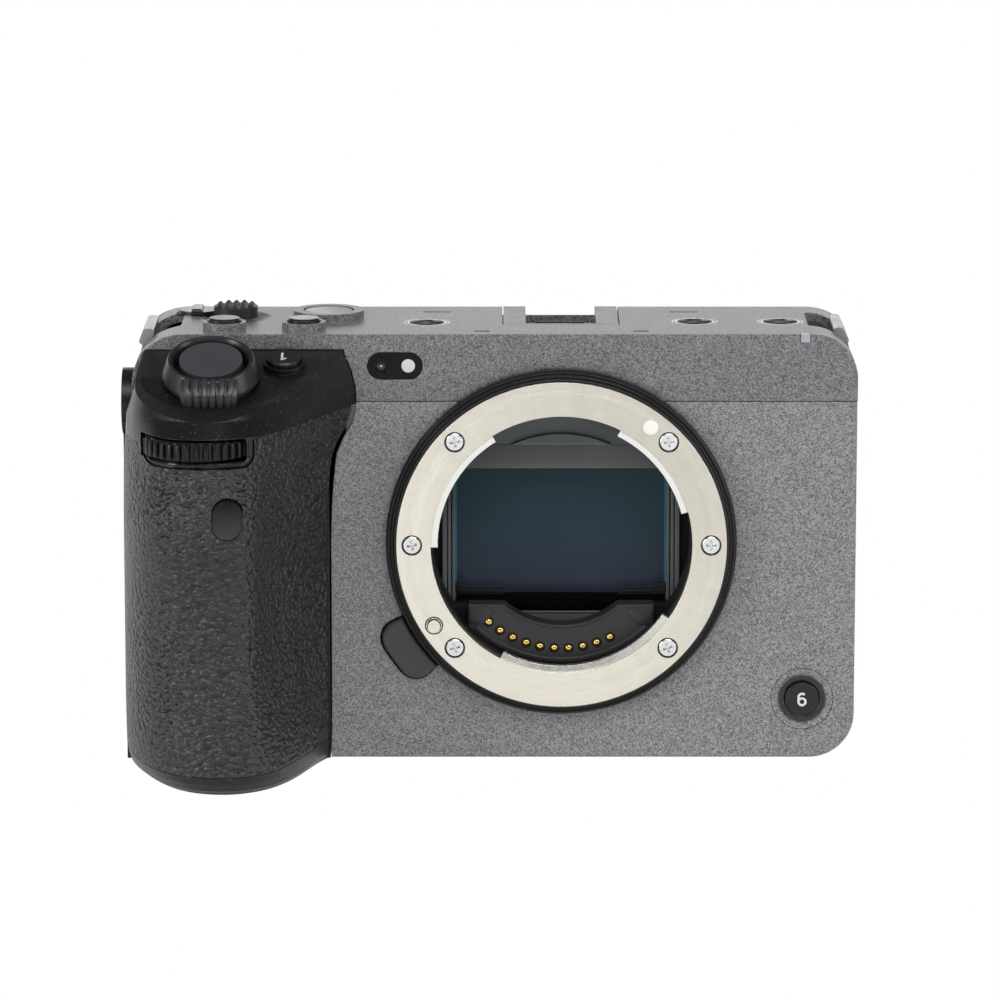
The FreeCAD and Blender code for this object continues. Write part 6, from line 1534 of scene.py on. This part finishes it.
@dataclass(frozen=True)
class ShoeSpring:
    """The spring plate, two bowed leaves and the contact row on the shoe's floor."""

    span_y: Point2 = (-4.1, 14.7)
    floor_z: float = 73.0
    plate_wide: float = 12.0
    plate_short: float = 0.6
    plate_corner: float = 0.6
    plate_span: Point2 = (0.02, 0.42)
    leaf_x: float = 7.6
    leaf_shift: float = -0.6
    leaf_wide: float = 2.6
    leaf_short: float = 3.0
    leaf_corner: float = 0.5
    leaf_span: Point2 = (0.02, 0.3)
    bow: tuple[Point2, ...] = ((9.2, 0.0), (9.5, 0.0), (9.5, 2.2), (9.2, 2.2))
    bow_arc: Point2 = (62.0, 118.0)
    bow_drop: float = 7.6
    bow_half: float = 1.1
    holder: Point2 = (8.9, 1.1)
    holder_corner: float = 0.2
    holder_span: Point2 = (0.42, 0.9)
    holder_back: float = 2.0
    contacts: int = 11
    pitch: float = 0.72
    contact: Point2 = (0.4, 1.5)
    contact_corner: float = 0.1
    contact_span: Point2 = (0.4, 0.5)
    contact_back: float = 4.2

    def build(self, wardrobe: Wardrobe) -> None:
        """Builds all of it as one piece.

        Args:
            wardrobe: The finishes.
        """
        middle = (self.span_y[0] + self.span_y[1]) / 2
        length = self.span_y[1] - self.span_y[0]
        floor = Facing.TOP.seat(0.0, middle, self.floor_z)
        form = Form("shoe_spring", wardrobe)
        plate = (self.plate_wide, length - self.plate_short)
        form.pad(plate, self.plate_corner, *self.plate_span, Skin.SHOE_PLATE, floor, round_by=0.08)
        for side in (-1.0, 1.0):
            leaf, spot = (self.leaf_wide, length - self.leaf_short), (side * self.leaf_x, self.leaf_shift)
            form.pad(leaf, self.leaf_corner, *self.leaf_span, Skin.STEEL, shifted(floor, *spot),
                     round_by=0.06)
            turn = Facing.RIGHT.seat(side * self.leaf_x - self.bow_half, middle + self.leaf_shift,
                                     self.floor_z - self.bow_drop)
            form.sector(self.bow, self.bow_arc, Skin.STEEL, turn, steps=16, round_by=0.05)
        form.pad(self.holder, self.holder_corner, *self.holder_span, Skin.MATT_BLACK,
                 shifted(floor, 0.0, length / 2 - self.holder_back), round_by=0.06)
        for number in range(self.contacts):
            offset = (number - (self.contacts - 1) / 2) * self.pitch
            form.pad(self.contact, self.contact_corner, *self.contact_span, Skin.GOLD,
                     shifted(floor, offset, length / 2 - self.contact_back), round_by=0.03)
        form.fit("body", "shoe_metal")


# Rear, sides and underside


@dataclass(frozen=True)
class CrossScrews:
    """The small black housing screws."""

    base: tuple[Point2, ...] = ((-36.0, -8.6), (-36.0, 17.0), (39.5, -8.6), (39.5, 17.0), (14.0, 17.4),
                                (-15.0, -9.6))
    side: tuple[Point2, ...] = ((-8.6, 6.5), (-8.6, 30.5), (-8.6, 52.0))
    rear: tuple[Point2, ...] = ((-55.4, 6.5), (-33.5, 6.5))
    head: CrossHead = CrossHead(1.25, 0.7)
    sunk: float = 0.02
    next_turn: float = 31.0
    dish: tuple[Point2, ...] = ((1.28, -0.3), (1.62, -0.3), (1.62, -0.06), (1.5, 0.01), (1.34, -0.03),
                                (1.28, -0.3))

    def build(self, wardrobe: Wardrobe) -> None:
        """Builds all of them, each in a shallow dished seat.

        Args:
            wardrobe: The finishes.
        """
        form = Form("housing_screws", wardrobe)
        seats = [Facing.BASE.seat(x, y, 0.0) for x, y in self.base]
        seats += [Facing.RIGHT.seat(RIGHT_X, y, z) for y, z in self.side]
        seats += [Facing.BACK.seat(x, REAR_Y, z) for x, z in self.rear]
        for number, seat in enumerate(seats):
            spot = shifted(seat, 0.0, 0.0, -self.sunk, self.next_turn * number)
            form.take(self.head.part(), Skin.SCREW_BLACK, spot)
            form.turned(self.dish, Skin.MATT_BLACK, seat, steps=28)
        form.fit("body", "screw_metal")


@dataclass(frozen=True)
class MonitorFace:
    """The black printed border, the panel under the glass and the finger lips of the monitor."""

    span_x: Point2 = (-24.4, 40.4)
    span_z: Point2 = (7.2, 60.2)
    glass_y: float = 30.7
    margin: float = 0.25
    border: float = 3.2
    outer_corner: float = 1.3
    inner_corner: float = 0.3
    root: float = -0.3
    border_rise: float = 0.03
    panel_rise: float = 0.015
    lips: int = 6
    lip_at: tuple[float, float, float] = (-26.6, 27.2, 33.7)
    lip_pitch: float = 1.1
    lip: Point2 = (0.5, 9.0)
    lip_corner: float = 0.2
    lip_rise: float = 0.22
    lip_short: float = 0.42

    def build(self, wardrobe: Wardrobe) -> None:
        """Builds the face's piece and the lips' piece.

        Args:
            wardrobe: The finishes.
        """
        width, height = (span[1] - span[0] - 2 * self.margin for span in (self.span_x, self.span_z))
        seat = Facing.BACK.seat(sum(self.span_x) / 2, self.glass_y, sum(self.span_z) / 2)
        face = Form("monitor_border", wardrobe)
        face.pad((width, height), self.outer_corner, self.root, self.border_rise, Skin.TRIM, seat,
                 wall=self.border)
        inner = (width - 2 * self.border, height - 2 * self.border)
        face.pad(inner, self.inner_corner, self.root, self.panel_rise, Skin.PANEL, seat)
        face.fit("monitor", "screen_glass")
        lips = Form("monitor_lips", wardrobe)
        x, y, z = self.lip_at
        lie = Matrix.Rotation(math.radians(90.0), 4, "Z") @ Matrix.Scale(self.lip_short, 4, (0, 1, 0))
        for number in range(self.lips):
            level = z + (number - (self.lips - 1) / 2) * self.lip_pitch
            spot = Facing.LEFT.seat(x, y, level) @ lie
            lips.pad(self.lip, self.lip_corner, self.root, self.lip_rise, Skin.RUBBER, spot, round_by=0.08)
        lips.fit("monitor", "rear_plastic")


class Mark(Enum):
    """The printed sign of a rear button."""

    TRIANGLE = "triangle"
    BIN = "bin"
    RING = "ring"


@dataclass(frozen=True)
class RearControls:
    """Raised marks on the control wheel and on the rear buttons."""

    wheel: tuple[float, float, float] = (-46.0, 31.0, 35.5)
    wheel_marks: float = 8.4
    pointer: tuple[Point2, ...] = ((-0.55, -0.75), (0.6, 0.0), (-0.55, 0.75))
    pointer_span: Point2 = (-0.05, 0.04)
    buttons: tuple[tuple[str, Mark, float, float], ...] = (
        ("playback_button", Mark.TRIANGLE, -36.5, 16.0), ("delete_button", Mark.BIN, -55.5, 16.0),
        ("function_button", Mark.RING, -34.5, 54.0), ("af_on_button", Mark.RING, -46.5, 57.5),
    )
    cap_y: float = 30.9
    span: Point2 = (-0.05, 0.05)
    triangle: tuple[Point2, ...] = ((-0.8, -1.0), (0.95, 0.0), (-0.8, 1.0))
    bin_size: Point2 = (1.4, 1.5)
    bin_at: float = -0.25
    bin_corner: float = 0.15
    bin_wall: float = 0.2
    lid: Point2 = (1.9, 0.25)
    lid_at: float = 0.75
    lid_corner: float = 0.1
    ring: Point2 = (1.0, 1.25)

    def mark(self, form: Form, kind: Mark, seat: Matrix) -> None:
        """Adds one button's mark.

        Args:
            form: The piece.
            kind: The mark.
            seat: The button's face.
        """
        if kind is Mark.TRIANGLE:
            form.plate(self.triangle, *self.span, Skin.FIGURE, seat)
        elif kind is Mark.BIN:
            box, lid = shifted(seat, 0.0, self.bin_at), shifted(seat, 0.0, self.lid_at)
            form.pad(self.bin_size, self.bin_corner, *self.span, Skin.FIGURE, box, wall=self.bin_wall)
            form.pad(self.lid, self.lid_corner, *self.span, Skin.FIGURE, lid)
        else:
            form.hoop(self.ring, self.span, Skin.FIGURE, seat, steps=32)

    def build(self, wardrobe: Wardrobe) -> None:
        """Builds the marks on their bodies.

        Args:
            wardrobe: The finishes.
        """
        pointers = Form("wheel_marks", wardrobe)
        seat = Facing.BACK.seat(*self.wheel)
        for turn in (0.0, 90.0, 180.0, 270.0):
            spot = shifted(seat, *polar(self.wheel_marks, turn), 0.0, turn)
            pointers.plate(self.pointer, *self.pointer_span, Skin.FIGURE, spot)
        pointers.fit("control_wheel", "dial_black")
        for node, kind, x, z in self.buttons:
            form = Form(f"{node}_mark", wardrobe)
            self.mark(form, kind, Facing.BACK.seat(x, self.cap_y, z))
            form.fit(node, "button_black")


@dataclass(frozen=True)
class TerminalDoors:
    """The raised border and finger lip of each rubber door at the terminal side."""

    doors: tuple[tuple[str, float, float], ...] = (("jack_door", 46.05, 61.45), ("video_door", 29.55, 45.75),
                                                   ("data_door", 8.55, 29.25))
    span_y: Point2 = (1.8, 16.7)
    inset: float = 1.1
    corner: float = 1.2
    wall: float = 0.35
    span: Point2 = (-0.2, 0.02)
    lip_wide: float = 0.8
    lip_high: float = 5.0
    lip_corner: float = 0.3
    lip_in: float = 1.6

    def build(self, wardrobe: Wardrobe) -> None:
        """Builds each door's relief on its own body.

        Args:
            wardrobe: The finishes.
        """
        middle = sum(self.span_y) / 2
        width = self.span_y[1] - self.span_y[0] - 2 * self.inset
        for door, low, high in self.doors:
            form = Form(f"{door}_relief", wardrobe)
            seat = Facing.RIGHT.seat(RIGHT_X, middle, (low + high) / 2)
            height = high - low - 2 * self.inset
            form.pad((width, height), self.corner, *self.span, Skin.RUBBER, seat, round_by=0.01,
                     wall=self.wall)
            lip = (self.lip_wide, min(self.lip_high, height / 2))
            form.pad(lip, self.lip_corner, *self.span, Skin.RUBBER,
                     shifted(seat, width / 2 - self.lip_in, 0.0))
            form.fit(door, "door_rubber")


@dataclass(frozen=True)
class GripDoors:
    """Finger ribs on the card door and on the battery door's latch, and the battery door's arrow and lip."""

    card_at: tuple[float, float, float] = (-76.6, 16.2, 35.0)
    card_ribs: int = 5
    card_first: float = -6.0
    card_pitch: float = 1.2
    card_rib: Point2 = (0.7, 9.0)
    card_corner: float = 0.3
    card_span: Point2 = (-0.3, 0.02)
    battery_at: tuple[float, float, float] = (-58.5, 5.0, 0.3)
    root: float = -0.2
    arrow: tuple[Point2, ...] = ((-1.6, -1.2), (1.6, -1.2), (0.0, 1.4))
    arrow_rise: float = 0.04
    lip: Point2 = (20.0, 1.0)
    lip_corner: float = 0.4
    lip_at: float = 6.5
    lip_rise: float = 0.05
    latch_at: tuple[float, float, float] = (-68.6, -7.0, 0.4)
    latch_ribs: int = 4
    latch_pitch: float = 0.95
    latch_rib: Point2 = (0.4, 5.4)
    latch_corner: float = 0.15
    latch_rise: float = 0.09

    def build(self, wardrobe: Wardrobe) -> None:
        """Builds a piece for each body.

        Args:
            wardrobe: The finishes.
        """
        card = Form("card_door_ribs", wardrobe)
        seat = Facing.LEFT.seat(*self.card_at)
        for number in range(self.card_ribs):
            spot = shifted(seat, self.card_first + number * self.card_pitch, 0.0)
            card.pad(self.card_rib, self.card_corner, *self.card_span, Skin.BUTTON, spot)
        card.fit("card_door", "rear_plastic")
        base = Form("battery_door_arrow", wardrobe)
        seat = Facing.BASE.seat(*self.battery_at)
        base.plate(self.arrow, self.root, self.arrow_rise, Skin.FIGURE, seat)
        edge = shifted(seat, 0.0, self.lip_at)
        base.pad(self.lip, self.lip_corner, self.root, self.lip_rise, Skin.REAR_PLASTIC, edge, round_by=0.02)
        base.fit("battery_door", "rear_plastic")
        latch = Form("battery_latch_ribs", wardrobe)
        x, y, z = self.latch_at
        for number in range(self.latch_ribs):
            spot = Facing.BASE.seat(x + number * self.latch_pitch, y, z)
            latch.pad(self.latch_rib, self.latch_corner, self.root, self.latch_rise, Skin.BUTTON, spot,
                      round_by=0.03)
        latch.fit("battery_latch", "button_black")


# The dressed CAD nodes

NODE_SKINS: dict[str, Skin] = {
    "front_cover": Skin.FRONT_PAINT, "top_cover": Skin.TOP_PAINT, "rear_cover": Skin.REAR_PLASTIC,
    "bottom_plate": Skin.REAR_PLASTIC, "terminal_panel": Skin.SIDE_PAINT, "chassis_frame": Skin.CAST,
    "grip_core": Skin.GRIP_PLASTIC, "grip_skin": Skin.LEATHER, "grip_top_cover": Skin.GRIP_PLASTIC,
    "mount_ring": Skin.MOUNT, "mount_trim_ring": Skin.TRIM, "mount_screws": Skin.BRIGHT,
    "contact_block": Skin.CONTACT_PLASTIC, "contact_pins": Skin.GOLD, "light_baffle": Skin.MATT_BLACK,
    "release_button": Skin.RELEASE, "lock_pin": Skin.MOUNT, "sensor_package": Skin.MATT_BLACK,
    "sensor_glass": Skin.SENSOR, "sensor_stage": Skin.STEEL, "shutter_blade_lower": Skin.BLADE,
    "shutter_blade_upper": Skin.BLADE, "main_board": Skin.BOARD, "heat_sink": Skin.HEAT,
    "battery": Skin.BATTERY, "card_slot_unit": Skin.STEEL, "shutter_button": Skin.SHUTTER,
    "zoom_lever": Skin.LEVER, "front_dial": Skin.DIAL, "rear_dial": Skin.DIAL, "joystick": Skin.STICK,
    "joystick_gimbal": Skin.STEEL, "power_switch": Skin.LEVER, "accessory_shoe": Skin.SHOE,
    "thread_inserts": Skin.STEEL, "strap_bars": Skin.STRAP, "front_windows": Skin.WINDOW,
    "record_lamp": Skin.LAMP, "monitor_case": Skin.REAR_PLASTIC, "monitor_glass": Skin.SCREEN,
    "monitor_hinge": Skin.SCREW_BLACK, "jack_door": Skin.RUBBER, "video_door": Skin.RUBBER,
    "data_door": Skin.RUBBER, "card_door": Skin.REAR_PLASTIC, "battery_door": Skin.REAR_PLASTIC,
    "control_wheel": Skin.DIAL,
}

# The buttons, the fan and the latch

OTHER_NODES = Skin.BUTTON


@dataclass(frozen=True)
class Studio:
    """Camera, floor, lights and backdrop.

    Each light is a name, its centre, its width and height, and its level.
    """

    focal: float = 204.55
    eye: tuple[float, float, float] = (-10.823, -999.518, 240.466)
    pitch: float = 11.141
    film: float = 36.0
    clip: Point2 = (0.05, 60.0)
    floor_half: float = 9000.0
    floor_z: float = -0.2
    floor_tone: float = 0.8
    floor_glow: float = 0.3
    aim: tuple[float, float, float] = (0.0, 0.0, 35.0)
    boxes: tuple[tuple[str, tuple[float, float, float], Point2, float], ...] = (
        ("key_box", (200.0, -1300.0, 1500.0), (1500.0, 800.0), 1.3),
        ("left_box", (-1500.0, -900.0, 500.0), (500.0, 1300.0), 2.0),
        ("right_box", (1600.0, -600.0, 700.0), (600.0, 1300.0), 1.0),
        ("back_box", (0.0, 1800.0, 480.0), (4600.0, 560.0), 0.5),
    )
    surround: float = 0.16

    def build(self) -> None:
        """Sets up everything that isn't the camera body."""
        self.camera()
        self.floor()
        for box in self.boxes:
            self.soft_box(*box)
        self.backdrop()

    def camera(self) -> None:
        """Adds the photo's view."""
        data = bpy.data.cameras.new("view_camera")
        data.lens = self.focal
        data.sensor_width = self.film
        data.clip_start, data.clip_end = self.clip
        view = bpy.data.objects.new("view_camera", data)
        view.location = tuple(c * MILLIMETRE for c in self.eye)
        view.rotation_euler = (math.radians(90.0 - self.pitch), 0.0, 0.0)
        bpy.context.scene.collection.objects.link(view)
        bpy.context.scene.camera = view

    def floor(self) -> None:
        """Adds a pale floor that is white to the camera and clear from beneath."""
        mesh = bmesh.new()
        bmesh.ops.create_grid(mesh, x_segments=1, y_segments=1, size=self.floor_half * MILLIMETRE)
        data = bpy.data.meshes.new("floor")
        mesh.to_mesh(data)
        mesh.free()
        floor = bpy.data.objects.new("floor", data)
        floor.location.z = self.floor_z * MILLIMETRE
        bpy.context.scene.collection.objects.link(floor)
        g = Graph("floor_white")
        white, tone = (1.0, 1.0, 1.0, 1.0), self.floor_tone
        g.finish(Base_Color=(tone, tone, tone, 1.0), Roughness=0.7, Specular_IOR_Level=0.0,
                 Emission_Color=white, Emission_Strength=self.floor_glow)
        seen = g.add("ShaderNodeLightPath", {}, {}, "Is Camera Ray")
        glow = g.add("ShaderNodeEmission", {}, {"Color": white})
        above = g.add("ShaderNodeMixShader", {}, {0: seen, 1: Field(g, g.shader.outputs[0]), 2: glow})
        beneath = g.add("ShaderNodeNewGeometry", {}, {}, "Backfacing")
        clear = g.add("ShaderNodeBsdfTransparent", {}, {})
        g.feed(g.output.inputs[0], g.add("ShaderNodeMixShader", {}, {0: beneath, 1: above, 2: clear}))
        data.materials.append(g.material)

    def soft_box(self, name: str, where: Sequence[float], size: Point2, level: float) -> None:
        """Adds one rectangular light that looks at the object.

        Args:
            name: Its name.
            where: Its centre.
            size: Width and height.
            level: Brightness, about the radiance of a lit white card.
        """
        data = bpy.data.lights.new(name, "AREA")
        data.shape = "RECTANGLE"
        data.size, data.size_y = (s * MILLIMETRE for s in size)
        data.energy = level * math.pi * data.size * data.size_y * 4.0
        lamp = bpy.data.objects.new(name, data)
        lamp.location = tuple(c * MILLIMETRE for c in where)
        aim = Vector(self.aim) * MILLIMETRE - lamp.location
        lamp.rotation_euler = aim.to_track_quat("-Z", "Y").to_euler()
        bpy.context.scene.collection.objects.link(lamp)

    def backdrop(self) -> None:
        """Adds a surround that is white to the camera and lights the object much less than it shows."""
        world = bpy.data.worlds.new("surround")
        world.use_nodes = True
        bpy.context.scene.world = world
        tree = world.node_tree
        tree.nodes.clear()
        path = tree.nodes.new("ShaderNodeLightPath")
        seen = tree.nodes.new("ShaderNodeMath")
        seen.operation = "MAXIMUM"
        tree.links.new(path.outputs["Is Camera Ray"], seen.inputs[0])
        tree.links.new(path.outputs["Is Transmission Ray"], seen.inputs[1])
        dim = tree.nodes.new("ShaderNodeBackground")
        dim.inputs["Color"].default_value = (self.surround, self.surround, self.surround * 1.02, 1.0)
        bright = tree.nodes.new("ShaderNodeBackground")
        bright.inputs["Color"].default_value = (1.0, 1.0, 1.0, 1.0)
        choice = tree.nodes.new("ShaderNodeMixShader")
        tree.links.new(seen.outputs[0], choice.inputs[0])
        tree.links.new(dim.outputs[0], choice.inputs[1])
        tree.links.new(bright.outputs[0], choice.inputs[2])
        out = tree.nodes.new("ShaderNodeOutputWorld")
        tree.links.new(choice.outputs[0], out.inputs[0])


class Dresser:
    """Gives every CAD node its finish."""

    def __init__(self, nodes: Mapping[str, bpy.types.Object], wardrobe: Wardrobe) -> None:
        """Keeps the nodes and the finishes."""
        self.nodes = nodes
        self.wardrobe = wardrobe

    def dress(self) -> None:
        """Sets each node's only material."""
        for name, node in self.nodes.items():
            skin = NODE_SKINS.get(name, OTHER_NODES)
            node.data.materials.clear()
            node.data.materials.append(self.wardrobe.get(skin))
            LOG.info("dressed %s as %s", name, skin.value.name)


def main() -> None:
    """Builds the whole scene."""
    logging.basicConfig(level=logging.INFO, format="%(message)s")
    bpy.ops.wm.read_factory_settings(use_empty=True)
    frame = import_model()
    bpy.context.scene.view_settings.view_transform = "Standard"
    wardrobe = Wardrobe()
    Dresser(frame["nodes"], wardrobe).dress()
    assemblies = (MountFittings(), ContactRow(), Chamber(), ZoomLever(), Dials(), GripTrim(), Figures(),
                  FocusWindow(), Sockets(), Microphones(), ShoeSpring(), CrossScrews(), MonitorFace(),
                  RearControls(), TerminalDoors(), GripDoors())
    for assembly in assemblies:
        assembly.build(wardrobe)
    Studio().build()


if __name__ == "__main__":
    main()
